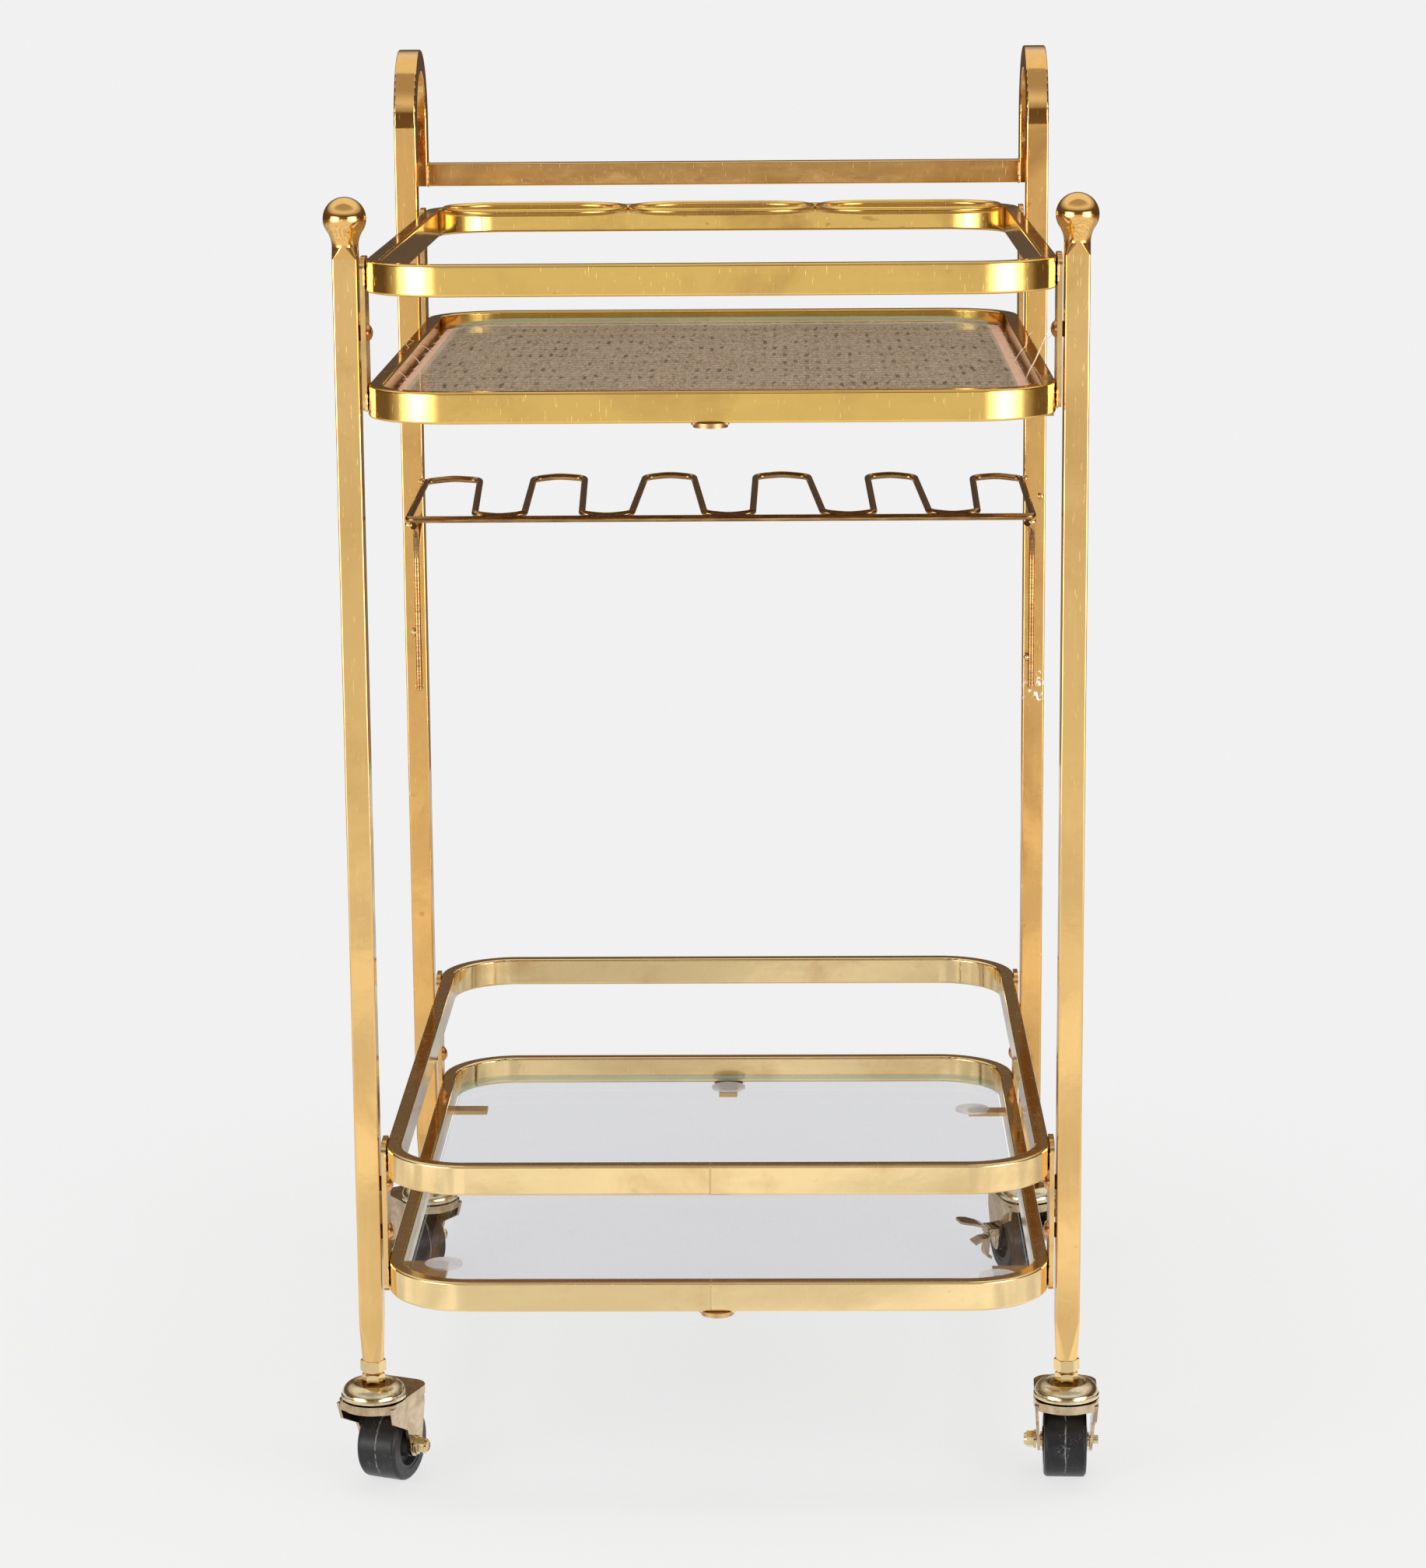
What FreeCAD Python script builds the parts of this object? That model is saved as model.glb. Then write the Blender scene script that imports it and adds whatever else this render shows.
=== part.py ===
import FreeCAD, Part
import math
import os

# Two-tier bar cart on four swivel casters. Millimetres, +Z up, +Y towards the push handle.
# The model is drawn about the middle of the trays at floor level. place_all() then moves it,
# so that the origin is the bottom centre of the overall box.

V = FreeCAD.Vector
UP = V(0, 0, 1)

# ---- driving dimensions -------------------------------------------------------------------
LEG_WIDTH = 16.0
LEG_CORNER = 1.2
LEG_X = 231.0
LEG_Y = 222.0
LEG_FOOT_Z = 91.0
LEG_FOOT_RADIUS = 7.2
SWAGE_Z = 118.0

TRAY_HALF_X = 218.0
TRAY_HALF_Y = 280.0
TRAY_CORNER = 55.0
RAIL_WIDE = 10.0
RAIL_TALL = 20.0
RAIL_EDGE = 1.6
TOP_RAIL_Z = 822.0
UPPER_TRAY_Z = 743.0
GALLERY_Z = 242.0
LOWER_TRAY_Z = 163.0

FRONT_LEG_TOP = 822.0
BALL_RADIUS = 13.75
BALL_Z = 847.0

HOOP_RADIUS = 47.0
HOOP_Z = 882.0
HANDLE_TOP = 851.0
HANDLE_TALL = 17.0

RING_WIRE = 2.75
RING_PITCH = 137.5
RING_FAR_Y = 267.9
RING_DEPTH = 80.0
RING_BEND = 39.5
RING_Z = TOP_RAIL_Z - 0.2

PLATE_THICK = 3.2
PLATE_WIDE = 25.0
PLATE_CORNER = 7.0
SPACER_THICK = LEG_X - LEG_WIDTH / 2 - TRAY_HALF_X - PLATE_THICK
SPACER_RADIUS = 5.0
SCREW_RADIUS = 2.5
SCREW_HOLE = 2.6
SCREW_HEAD_RADIUS = 6.0
SCREW_HEAD_TALL = 3.4
SCREW_DEPTH = 6.0
UPPER_SCREWS_Z = (775.0,)
LOWER_SCREWS_Z = (213.0, 180.0)

TAB_THICK = 3.0
TAB_WIDE = 14.0
TAB_REACH = 34.0
PAD_RADIUS = 12.75
PAD_THICK = 1.5
GLASS_THICK = 5.0
LOWER_GLASS_GAP = 2.0
PANEL_GAP = 1.5
PANEL_THICK = 11.0
UPPER_GLASS_INSET = 13.0

RACK_WIRE = 2.4
RACK_HALF_X = 221.0
RACK_REAR_Y = 219.0
RACK_FRONT_Y = 61.0
RACK_REAR_Z = 621.5
RACK_FRONT_Z = 617.3
RACK_CROWN = 2.5
RACK_BEND = 7.0
CORNER_BEND = 5.0
ARCH = 1.8
ARCH_RADIUS = 60.0
# The hand-bent humps of the wave wire: left and right at the rear, left and right at the front.
HUMPS = (
    (-RACK_HALF_X, -181.0, -RACK_HALF_X, -174.0),
    (-141.0, -103.0, -139.0, -98.0),
    (-58.0, -22.0, -63.0, -11.0),
    (24.0, 63.0, 23.0, 73.0),
    (107.0, 142.0, 109.0, 148.0),
    (185.0, RACK_HALF_X, 182.0, RACK_HALF_X),
)
STAY_START_X = 217.0
STAY_X = 229.0
STAY_BOTTOM_Z = 466.0
STAY_KNEE_Z = 586.0
STAY_BEND = 24.0

WHEEL_RADIUS = 25.0
TYRE_HALF = 14.2
TYRE_EDGE = 2.5
HUB_RADIUS = 17.0
HUB_HALF = 15.0
HUB_WEB_HALF = 9.0
HUB_BOSS_RADIUS = 8.4
HUB_RIM_INNER = 14.0
TRAIL = 24.0
SLEEVE_RADIUS = 5.0
AXLE_RADIUS = 3.0
NUT_STAND_OFF = 0.45
SLEEVE_GAP = 0.4
CROWN_RADIUS = 21.8
CROWN_TOP = 64.3
CROWN_THICK = 2.3
SKIRT_BOTTOM = 58.5
SHEET = 2.0
TAIL = 42.0
TAIL_HALF = 21.0
TAIL_CORNER = 11.0
CROWN_FRONT = 18.0
BLADE_TOP = 62.0
BLADE_TILT = 3.6
BLADE_EYE = 8.0
KINGPIN_RADIUS = 4.2
RIVET_RADIUS = 7.4
COLLAR_FLATS = 13.4
COLLAR_TOP = 81.4
STUD_RADIUS = 5.0
JAM_NUT_FLATS = 15.0
JAM_NUT_TALL = 8.0
CAP_GAP = 0.6
CAP_EDGE_TALL = 2.4
CAP_DOME_TALL = 8.0
CAP_RIM_RADIUS = 13.4
CAP_RECESS_RADIUS = 11.8
CAP_RECESS_FLOOR = 6.7

RUNNING = 0.06
WELD = 0.2

# Each caster: side of the cart in X, in Y, the swivel angle in degrees from straight back
# (towards +X is positive) and the side of its fork that holds the nut.
CASTERS = {
    "fl": (-1, -1, 22.0, 1),
    "fr": (1, -1, 2.0, -1),
    "rl": (-1, 1, -35.0, 1),
    "rr": (1, 1, -18.0, 1),
}

PIN_X = -23.9
PIN_Z = 34.0
PIN_RADIUS = 1.5
BARREL_RADIUS = 3.2
PEDAL_FRONT = 15.6
PEDAL_BACK = 28.0
EAR_GAP = 0.4
EAR_THICK = 2.2
EAR_HALF = 3.0
EAR_ROUND = 2.6
EAR_ROOT_X = -18.6
PEDAL_SHEET = 1.8
TAB_HALF = 9.0

SIDES = {"left": -1, "right": 1}


# ---- helpers ------------------------------------------------------------------------------
def box(x, y, z):
    """A box between the pairs of limits x, y and z."""
    size = (x[1] - x[0], y[1] - y[0], z[1] - z[0])
    return Part.makeBox(*size, V(x[0], y[0], z[0]))


def cylinder(radius, z, centre=(0.0, 0.0)):
    """An upright cylinder between the heights z."""
    return Part.makeCylinder(radius, z[1] - z[0], V(centre[0], centre[1], z[0]), UP)


def rod_along(radius, start, end):
    """A straight round rod from start to end."""
    run = end - start
    return Part.makeCylinder(radius, run.Length, start, run)


def rounded_outline(half_x, half_y, corner, z=0.0):
    """A closed rounded rectangle about the Z axis, as a wire at height z."""
    edges = []
    turn = math.radians(90)
    for k, (sx, sy) in enumerate(((1, 1), (-1, 1), (-1, -1), (1, -1))):
        centre = V(sx * (half_x - corner), sy * (half_y - corner), z)
        spots = []
        for part in (0.0, 0.5, 1.0):
            angle = turn * (k + part)
            spots.append(centre + V(corner * math.cos(angle), corner * math.sin(angle), 0))
        if edges:
            edges.append(Part.makeLine(edges[-1].Vertexes[-1].Point, spots[0]))
        edges.append(Part.Arc(*spots).toShape())
    edges.append(Part.makeLine(edges[-1].Vertexes[-1].Point, edges[0].Vertexes[0].Point))
    return Part.Wire(Part.__sortEdges__(edges))


def rounded_slab(half_x, half_y, corner, z):
    """A rounded rectangle extruded between the heights z."""
    face = Part.Face(rounded_outline(half_x, half_y, corner, z[0]))
    return face.extrude(V(0, 0, z[1] - z[0]))


def level_edges(shape):
    """The edges that lie in a level plane."""
    return [edge for edge in shape.Edges if edge.BoundBox.ZLength < 1e-6]


def bent_path(points, radii):
    """A wire through points, with an arc of the given radius at each inner point."""
    edges = []
    start = points[0]
    for before, here, after, radius in zip(points, points[1:], points[2:], radii):
        back = (before - here).normalize()
        ahead = (after - here).normalize()
        half = (math.pi - back.getAngle(ahead)) / 2
        reach = radius * math.tan(half)
        middle = (back + ahead).normalize()
        first = here + back * reach
        last = here + ahead * reach
        deep = here + middle * (radius / math.cos(half) - radius)
        if (first - start).Length > 1e-6:
            edges.append(Part.makeLine(start, first))
        edges.append(Part.Arc(first, deep, last).toShape())
        start = last
    if (points[-1] - start).Length > 1e-6:
        edges.append(Part.makeLine(start, points[-1]))
    return Part.Wire(edges)


def bent_rod(points, radii, radius):
    """A round rod along bent_path(points, radii)."""
    path = bent_path(points, radii)
    first = path.OrderedEdges[0]
    start = first.valueAt(first.FirstParameter)
    along = first.tangentAt(first.FirstParameter)
    circle = Part.Wire(Part.makeCircle(radius, start, along))
    return path.makePipeShell([circle], True, False)


def hexagon(flats, z):
    """An upright hexagonal prism with chamfered corners."""
    corner = flats / math.sqrt(3)
    spots = [V(corner * math.cos(math.radians(60 * k)), corner * math.sin(math.radians(60 * k)), z[0])
             for k in range(7)]
    prism = Part.Face(Part.makePolygon(spots)).extrude(V(0, 0, z[1] - z[0]))
    bevel = corner - flats / 2
    cone_low = Part.makeCone(flats / 2, flats / 2 + bevel * 4, bevel * 2, V(0, 0, z[0]), UP)
    middle = cylinder(corner + 1, (z[0] + bevel * 2, z[1] - bevel * 2))
    cone_high = Part.makeCone(flats / 2 + bevel * 4, flats / 2, bevel * 2, V(0, 0, z[1] - bevel * 2), UP)
    return prism.common(cone_low.fuse([middle, cone_high]))


def revolved(profile):
    """A solid of revolution about Z from a closed list of (radius, height) points."""
    spots = [V(r, 0, z) for r, z in profile]
    face = Part.Face(Part.makePolygon(spots + [spots[0]]))
    return face.revolve(V(0, 0, 0), UP, 360)


def ribbon(points, thickness, y):
    """A folded sheet: a line of (x, z) points given a thickness and extruded between the limits y."""
    left = []
    right = []
    last = len(points) - 1
    for k, (x, z) in enumerate(points):
        before = points[max(k - 1, 0)]
        after = points[min(k + 1, last)]
        run = V(after[0] - before[0], 0, after[1] - before[1]).normalize()
        side = V(-run.z, 0, run.x) * (thickness / 2)
        left.append(V(x, y[0], z) + side)
        right.append(V(x, y[0], z) - side)
    outline = left + right[::-1]
    face = Part.Face(Part.makePolygon(outline + [outline[0]]))
    return face.extrude(V(0, y[1] - y[0], 0))


def mirrored(shape, side):
    """The shape as drawn for the right side, or its mirror image for the left."""
    return shape if side > 0 else shape.mirror(V(0, 0, 0), V(1, 0, 0))


def joined(shapes):
    """One solid from several touching ones."""
    return shapes[0].fuse(shapes[1:]).removeSplitter()


def separate(shapes):
    """Several loose solids kept as one node."""
    return Part.makeCompound(shapes)


# ---- legs ---------------------------------------------------------------------------------
def tube_outline(half, corner, z):
    """The rounded square outline of a leg at height z."""
    return rounded_outline(half, half, corner, z)


def leg_foot():
    """The foot of a leg, drawn down from square to round."""
    top = tube_outline(LEG_WIDTH / 2, LEG_CORNER, SWAGE_Z)
    bottom = tube_outline(LEG_FOOT_RADIUS, LEG_FOOT_RADIUS - 0.15, LEG_FOOT_Z)
    return Part.makeLoft([bottom, top], True, True)


def screw_holes(side, row, heights):
    """Blind screw holes in the inner face of a leg."""
    face_x = LEG_X - LEG_WIDTH / 2
    holes = []
    for z in heights:
        start = V(side * (face_x - 1), row * LEG_Y, z)
        end = V(side * (face_x + SCREW_DEPTH), row * LEG_Y, z)
        holes.append(rod_along(SCREW_HOLE, start, end))
    return holes


def front_leg(side):
    """A straight front leg with its screw holes."""
    tube = rounded_slab(LEG_WIDTH / 2, LEG_WIDTH / 2, LEG_CORNER, (SWAGE_Z, FRONT_LEG_TOP))
    leg = joined([leg_foot(), tube])
    leg.translate(V(side * LEG_X, -LEG_Y, 0))
    return leg.cut(screw_holes(side, -1, UPPER_SCREWS_Z + LOWER_SCREWS_Z))


def ball_finial(side):
    """A ball on a neck that flares out of the leg's top."""
    waist_radius = 8.4
    waist_z = 829.5
    low = tube_outline(LEG_WIDTH / 2, LEG_CORNER, FRONT_LEG_TOP)
    high = tube_outline(waist_radius, waist_radius - 0.15, waist_z)
    collar = Part.makeLoft([low, high], True, True)
    seat_z = BALL_Z - 7.0
    seat_radius = math.sqrt(BALL_RADIUS ** 2 - 7.0 ** 2)
    middle = V(9.3, 0, waist_z + 5.6)
    curve = Part.Arc(V(waist_radius, 0, waist_z), middle, V(seat_radius, 0, seat_z)).toShape()
    edges = [
        curve,
        Part.makeLine(V(seat_radius, 0, seat_z), V(0, 0, seat_z)),
        Part.makeLine(V(0, 0, seat_z), V(0, 0, waist_z)),
        Part.makeLine(V(0, 0, waist_z), V(waist_radius, 0, waist_z)),
    ]
    neck = Part.Face(Part.Wire(edges)).revolve(V(0, 0, 0), UP, 360)
    ball = Part.makeSphere(BALL_RADIUS, V(0, 0, BALL_Z))
    finial = joined([collar, neck, ball])
    finial.translate(V(side * LEG_X, -LEG_Y, 0))
    return finial


def rear_leg(side):
    """A rear leg that hoops over backwards and comes down to the handle."""
    tube = rounded_slab(LEG_WIDTH / 2, LEG_WIDTH / 2, LEG_CORNER, (SWAGE_Z, HOOP_Z))
    section = Part.Face(tube_outline(LEG_WIDTH / 2, LEG_CORNER, HOOP_Z))
    hoop = section.revolve(V(0, HOOP_RADIUS, HOOP_Z), V(-1, 0, 0), 180)
    drop = rounded_slab(LEG_WIDTH / 2, LEG_WIDTH / 2, LEG_CORNER, (HANDLE_TOP - HANDLE_TALL, HOOP_Z))
    drop.translate(V(0, 2 * HOOP_RADIUS, 0))
    leg = joined([leg_foot(), tube, hoop, drop])
    leg.translate(V(side * LEG_X, LEG_Y, 0))
    return leg.cut(screw_holes(side, 1, UPPER_SCREWS_Z + LOWER_SCREWS_Z))


def handle_bar():
    """The push handle between the two hoops."""
    half_length = LEG_X - LEG_WIDTH / 2
    half_wide = LEG_WIDTH / 2
    half_tall = HANDLE_TALL / 2
    bar = box((-half_length, half_length), (-half_wide, half_wide), (-half_tall, half_tall))
    long_edges = [edge for edge in bar.Edges if edge.BoundBox.XLength > half_length]
    bar = bar.makeFillet(LEG_CORNER, long_edges)
    bar.translate(V(0, LEG_Y + 2 * HOOP_RADIUS, HANDLE_TOP - HANDLE_TALL / 2))
    return bar


# ---- rails, rings and trays ---------------------------------------------------------------
def rail(top_z):
    """A closed rail of rectangular tube with rounded corners."""
    heights = (top_z - RAIL_TALL, top_z)
    outer = rounded_slab(TRAY_HALF_X, TRAY_HALF_Y, TRAY_CORNER, heights)
    inner = rounded_slab(TRAY_HALF_X - RAIL_WIDE, TRAY_HALF_Y - RAIL_WIDE, TRAY_CORNER - RAIL_WIDE, heights)
    band = outer.cut(inner)
    return band.makeFillet(RAIL_EDGE, level_edges(band))


def bottle_ring(index):
    """One oval wire ring, counted from the left."""
    half_x = RING_PITCH / 2 - RING_WIRE + WELD / 2
    half_y = RING_DEPTH / 2
    path = rounded_outline(half_x, half_y, RING_BEND)
    first = path.OrderedEdges[0]
    start = first.valueAt(first.FirstParameter)
    circle = Part.Wire(Part.makeCircle(RING_WIRE, start, first.tangentAt(first.FirstParameter)))
    ring = path.makePipeShell([circle], True, False)
    ring.translate(V((index - 1) * RING_PITCH, RING_FAR_Y - half_y, RING_Z))
    return ring


def connector_plates(low_z, high_z, screws_z):
    """The four flat plates of one pair of rails, each drilled for its screws."""
    half_tall = (high_z - low_z) / 2
    plates = []
    for side in (-1, 1):
        for row in (-1, 1):
            plate = rounded_slab(PLATE_WIDE / 2, half_tall, PLATE_CORNER, (0, PLATE_THICK))
            plate.rotate(V(0, 0, 0), V(1, 0, 0), 90)
            plate.rotate(V(0, 0, 0), UP, 90)
            plate.translate(V(TRAY_HALF_X, row * LEG_Y, (low_z + high_z) / 2))
            plate = mirrored(plate, side)
            for z in screws_z:
                start = V(side * (TRAY_HALF_X - 1), row * LEG_Y, z)
                end = V(side * (TRAY_HALF_X + PLATE_THICK + 1), row * LEG_Y, z)
                plate = plate.cut(rod_along(SCREW_HOLE, start, end))
            plates.append(plate)
    return separate(plates)


def screw_places():
    """Every screw's side, row and height."""
    return [(side, row, z)
            for side in (-1, 1)
            for row in (-1, 1)
            for z in UPPER_SCREWS_Z + LOWER_SCREWS_Z]


def rail_screws():
    """Dome-head screws through the plates into the legs."""
    screws = []
    dome_radius = (SCREW_HEAD_RADIUS ** 2 + SCREW_HEAD_TALL ** 2) / (2 * SCREW_HEAD_TALL)
    for side, row, z in screw_places():
        ball = Part.makeSphere(dome_radius, V(0, 0, SCREW_HEAD_TALL - dome_radius))
        dome = ball.common(cylinder(SCREW_HEAD_RADIUS, (0, SCREW_HEAD_TALL)))
        reach = PLATE_THICK + SPACER_THICK + SCREW_DEPTH - 0.5
        screw = joined([dome, cylinder(SCREW_RADIUS, (-reach, 0))])
        screw.rotate(V(0, 0, 0), V(0, 1, 0), -90)
        screw.translate(V(TRAY_HALF_X, row * LEG_Y, z))
        screws.append(mirrored(screw, side))
    return separate(screws)


def leg_spacers():
    """Round washers that hold the plates off the legs."""
    spacers = []
    for side, row, z in screw_places():
        start = V(TRAY_HALF_X + PLATE_THICK, row * LEG_Y, z)
        end = start + V(SPACER_THICK, 0, 0)
        washer = rod_along(SPACER_RADIUS, start, end).cut(rod_along(SCREW_HOLE, start, end))
        spacers.append(mirrored(washer, side))
    return separate(spacers)


def side_tab(side, y, wide, tray_z):
    """A flat tab welded under a side rail and reaching inwards."""
    outer = TRAY_HALF_X - 1
    inner = TRAY_HALF_X - TAB_REACH - 1
    low = tray_z - RAIL_TALL - TAB_THICK
    tab = box((inner, outer), (y - wide / 2, y + wide / 2), (low, low + TAB_THICK))
    return mirrored(tab, side)


def centre_tab(row, tray_z):
    """A flat tab with a round outer end under the middle of the front or rear rail."""
    low = tray_z - RAIL_TALL - TAB_THICK
    heights = (low, low + TAB_THICK)
    radius = TAB_WIDE * 0.78
    outer = TRAY_HALF_Y - RAIL_WIDE + 3.0
    tongue = box((-TAB_WIDE / 2, TAB_WIDE / 2), (outer - TAB_REACH, outer), heights)
    tab = joined([cylinder(radius, heights, (0, outer)), tongue])
    return tab if row > 0 else tab.mirror(V(0, 0, 0), V(0, 1, 0))


# Each side tab: side, place along Y, width. The front ones are wide.
SIDE_TABS = ((-1, 199.0, TAB_WIDE), (1, 191.0, TAB_WIDE), (-1, -192.0, 40.0), (1, -205.0, 40.0))
# Each clear pad under the lower glass: place along X and Y.
PAD_PLACES = ((0.0, 254.0), (186.0, 191.0), (-186.0, -181.0), (186.0, -209.0))


def tray_tabs(tray_z):
    """All tabs of one tray."""
    tabs = [side_tab(side, y, wide, tray_z) for side, y, wide in SIDE_TABS]
    tabs += [centre_tab(row, tray_z) for row in (-1, 1)]
    return separate(tabs)


def glass_pads():
    """The clear pads between the lower glass and its tabs."""
    low = LOWER_TRAY_Z - RAIL_TALL
    return separate([cylinder(PAD_RADIUS, (low, low + PAD_THICK), place) for place in PAD_PLACES])


def pane(inset, low_z, corner):
    """A rounded pane of glass, inset from the rail's inner face."""
    half_x = TRAY_HALF_X - RAIL_WIDE - inset
    half_y = TRAY_HALF_Y - RAIL_WIDE - inset
    glass = rounded_slab(half_x, half_y, corner, (low_z, low_z + GLASS_THICK))
    return glass.makeFillet(0.8, level_edges(glass))


def woven_panel():
    """The cane-covered board that lies on the upper tray's tabs."""
    half_x = TRAY_HALF_X - RAIL_WIDE - PANEL_GAP
    half_y = TRAY_HALF_Y - RAIL_WIDE - PANEL_GAP
    low = UPPER_TRAY_Z - RAIL_TALL
    return rounded_slab(half_x, half_y, TRAY_CORNER - RAIL_WIDE - PANEL_GAP, (low, low + PANEL_THICK))


# ---- stemware rack ------------------------------------------------------------------------
def rear_point(x, lift=0.0):
    """A point of the rack's rear edge, which is slightly crowned."""
    return V(x, RACK_REAR_Y, RACK_REAR_Z + RACK_CROWN * (1 - (x / RACK_HALF_X) ** 2) + lift)


def front_point(x, lift=0.0):
    """A point of the wave wire's front edge, which lies behind and just above the front bar."""
    return V(x, RACK_FRONT_Y + 4.3, RACK_FRONT_Z + lift)


def rack_wave_wire():
    """The wire bent to and fro that carries the glasses' feet."""
    points = []
    radii = []
    last = len(HUMPS) - 1
    for k, (rear_left, rear_right, front_left, front_right) in enumerate(HUMPS):
        if k > 0:
            points.append(front_point(front_left, ARCH / 2))
            radii.append(RACK_BEND)
        points.append(rear_point(rear_left))
        points.append(rear_point((rear_left + rear_right) / 2, ARCH))
        points.append(rear_point(rear_right))
        radii += [RACK_BEND if k > 0 else CORNER_BEND, ARCH_RADIUS, RACK_BEND if k < last else CORNER_BEND]
        if k < last:
            points.append(front_point(front_right, ARCH / 2))
            points.append(front_point((front_right + HUMPS[k + 1][2]) / 2, -ARCH / 2))
            radii += [RACK_BEND, ARCH_RADIUS]
    start = side_wire_point(-1, CORNER_BEND + 1.5)
    end = side_wire_point(1, CORNER_BEND + 1.5)
    return bent_rod([start] + points + [end], radii, RACK_WIRE)


def side_wire_point(side, ahead):
    """A point of the rack's side wire, a distance ahead of the rear corner."""
    rear = rear_point(side * RACK_HALF_X)
    front = V(side * RACK_HALF_X, RACK_FRONT_Y, RACK_FRONT_Z - 2.0)
    return rear + (front - rear).normalize() * ahead


def rack_front_bar():
    """The wire across the rack's front that turns back along both of its sides."""
    points = [
        side_wire_point(-1, CORNER_BEND + 1.0),
        V(-RACK_HALF_X, RACK_FRONT_Y, RACK_FRONT_Z - 2.0),
        V(RACK_HALF_X, RACK_FRONT_Y, RACK_FRONT_Z - 2.0),
        side_wire_point(1, CORNER_BEND + 1.0),
    ]
    return bent_rod(points, [CORNER_BEND, CORNER_BEND], RACK_WIRE)


def rack_stay(side):
    """A stay from under the rack's front corner back to the rear leg and down its front face."""
    face_y = LEG_Y - LEG_WIDTH / 2 - RACK_WIRE + WELD
    points = [
        V(STAY_START_X, RACK_FRONT_Y - 1.0, RACK_FRONT_Z - 2.0 - 2 * RACK_WIRE + 2 * WELD),
        V(STAY_X, face_y, STAY_KNEE_Z),
        V(STAY_X, face_y, STAY_BOTTOM_Z),
    ]
    return mirrored(bent_rod(points, [STAY_BEND], RACK_WIRE), side)


# ---- casters ------------------------------------------------------------------------------
def caster_stem():
    """Fixed stem: kingpin with its riveted end, hexagonal collar and threaded stud."""
    rivet_top = CROWN_TOP - CROWN_THICK - 0.4
    collar_bottom = CROWN_TOP + CAP_GAP + CAP_RECESS_FLOOR
    rivet = cylinder(RIVET_RADIUS, (rivet_top - 3.0, rivet_top))
    kingpin = cylinder(KINGPIN_RADIUS, (rivet_top - 1.0, collar_bottom + 1.0))
    collar = hexagon(COLLAR_FLATS, (collar_bottom, COLLAR_TOP))
    stud = cylinder(STUD_RADIUS, (COLLAR_TOP - 1.0, LEG_FOOT_Z))
    return joined([rivet, kingpin, collar, stud])


def jam_nut():
    """The nut that locks the stem against the foot of the leg."""
    nut = hexagon(JAM_NUT_FLATS, (LEG_FOOT_Z - JAM_NUT_TALL, LEG_FOOT_Z))
    return nut.cut(cylinder(STUD_RADIUS, (LEG_FOOT_Z - JAM_NUT_TALL, LEG_FOOT_Z)))


def raceway_cap():
    """The upper raceway: a rounded ring with a pressed groove and a sunk middle for the collar."""
    bottom = CROWN_TOP + CAP_GAP
    edge_top = bottom + CAP_EDGE_TALL
    profile = [
        (KINGPIN_RADIUS, bottom), (CROWN_RADIUS - 1.0, bottom), (CROWN_RADIUS, bottom + 0.8),
        (CROWN_RADIUS, edge_top - 0.2), (CROWN_RADIUS - 0.9, edge_top + 0.5),
    ]
    reach = CROWN_RADIUS - 0.5 - CAP_RIM_RADIUS
    for angle in range(8, 91, 6):
        turned = math.radians(angle)
        rise = CAP_DOME_TALL * math.sin(turned)
        profile.append((CAP_RIM_RADIUS + reach * math.cos(turned), edge_top + rise))
    profile += [
        (CAP_RECESS_RADIUS + 0.5, edge_top + CAP_DOME_TALL - 0.3),
        (CAP_RECESS_RADIUS, edge_top + CAP_DOME_TALL - 0.9),
        (CAP_RECESS_RADIUS, bottom + CAP_RECESS_FLOOR), (KINGPIN_RADIUS, bottom + CAP_RECESS_FLOOR),
    ]
    return revolved(profile)


def crown_outline(inset, z):
    """The fork's crown seen from above, as a solid between the heights z."""
    disc = cylinder(CROWN_RADIUS - inset, z)
    half_y = (TAIL + CROWN_FRONT) / 2 - inset
    tail = rounded_slab(TAIL_HALF - inset, half_y, TAIL_CORNER - inset, z)
    tail.translate(V(0, TAIL - half_y - inset, 0))
    return joined([disc, tail])


def fork_blade():
    """One blade of the fork, on the +X side, sloping inwards to the axle."""
    eye = BLADE_EYE
    back = TAIL - TAIL_CORNER + 1.0
    spots = [
        V(0, -14.0, BLADE_TOP), V(0, back, BLADE_TOP), V(0, back + 2.0, BLADE_TOP - 10.0),
        V(0, TRAIL + eye, WHEEL_RADIUS), V(0, TRAIL - eye, WHEEL_RADIUS),
        V(0, TRAIL - eye - 6.0, WHEEL_RADIUS + 15.0), V(0, -10.0, BLADE_TOP - 12.0),
    ]
    web = Part.Face(Part.makePolygon(spots + [spots[0]])).extrude(V(SHEET, 0, 0))
    tip = rod_along(eye, V(0, TRAIL, WHEEL_RADIUS), V(SHEET, TRAIL, WHEEL_RADIUS))
    blade = joined([web, tip])
    blade.rotate(V(SHEET, 0, BLADE_TOP), V(0, 1, 0), BLADE_TILT)
    blade.translate(V(TAIL_HALF - SHEET, 0, 0))
    return blade


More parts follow.
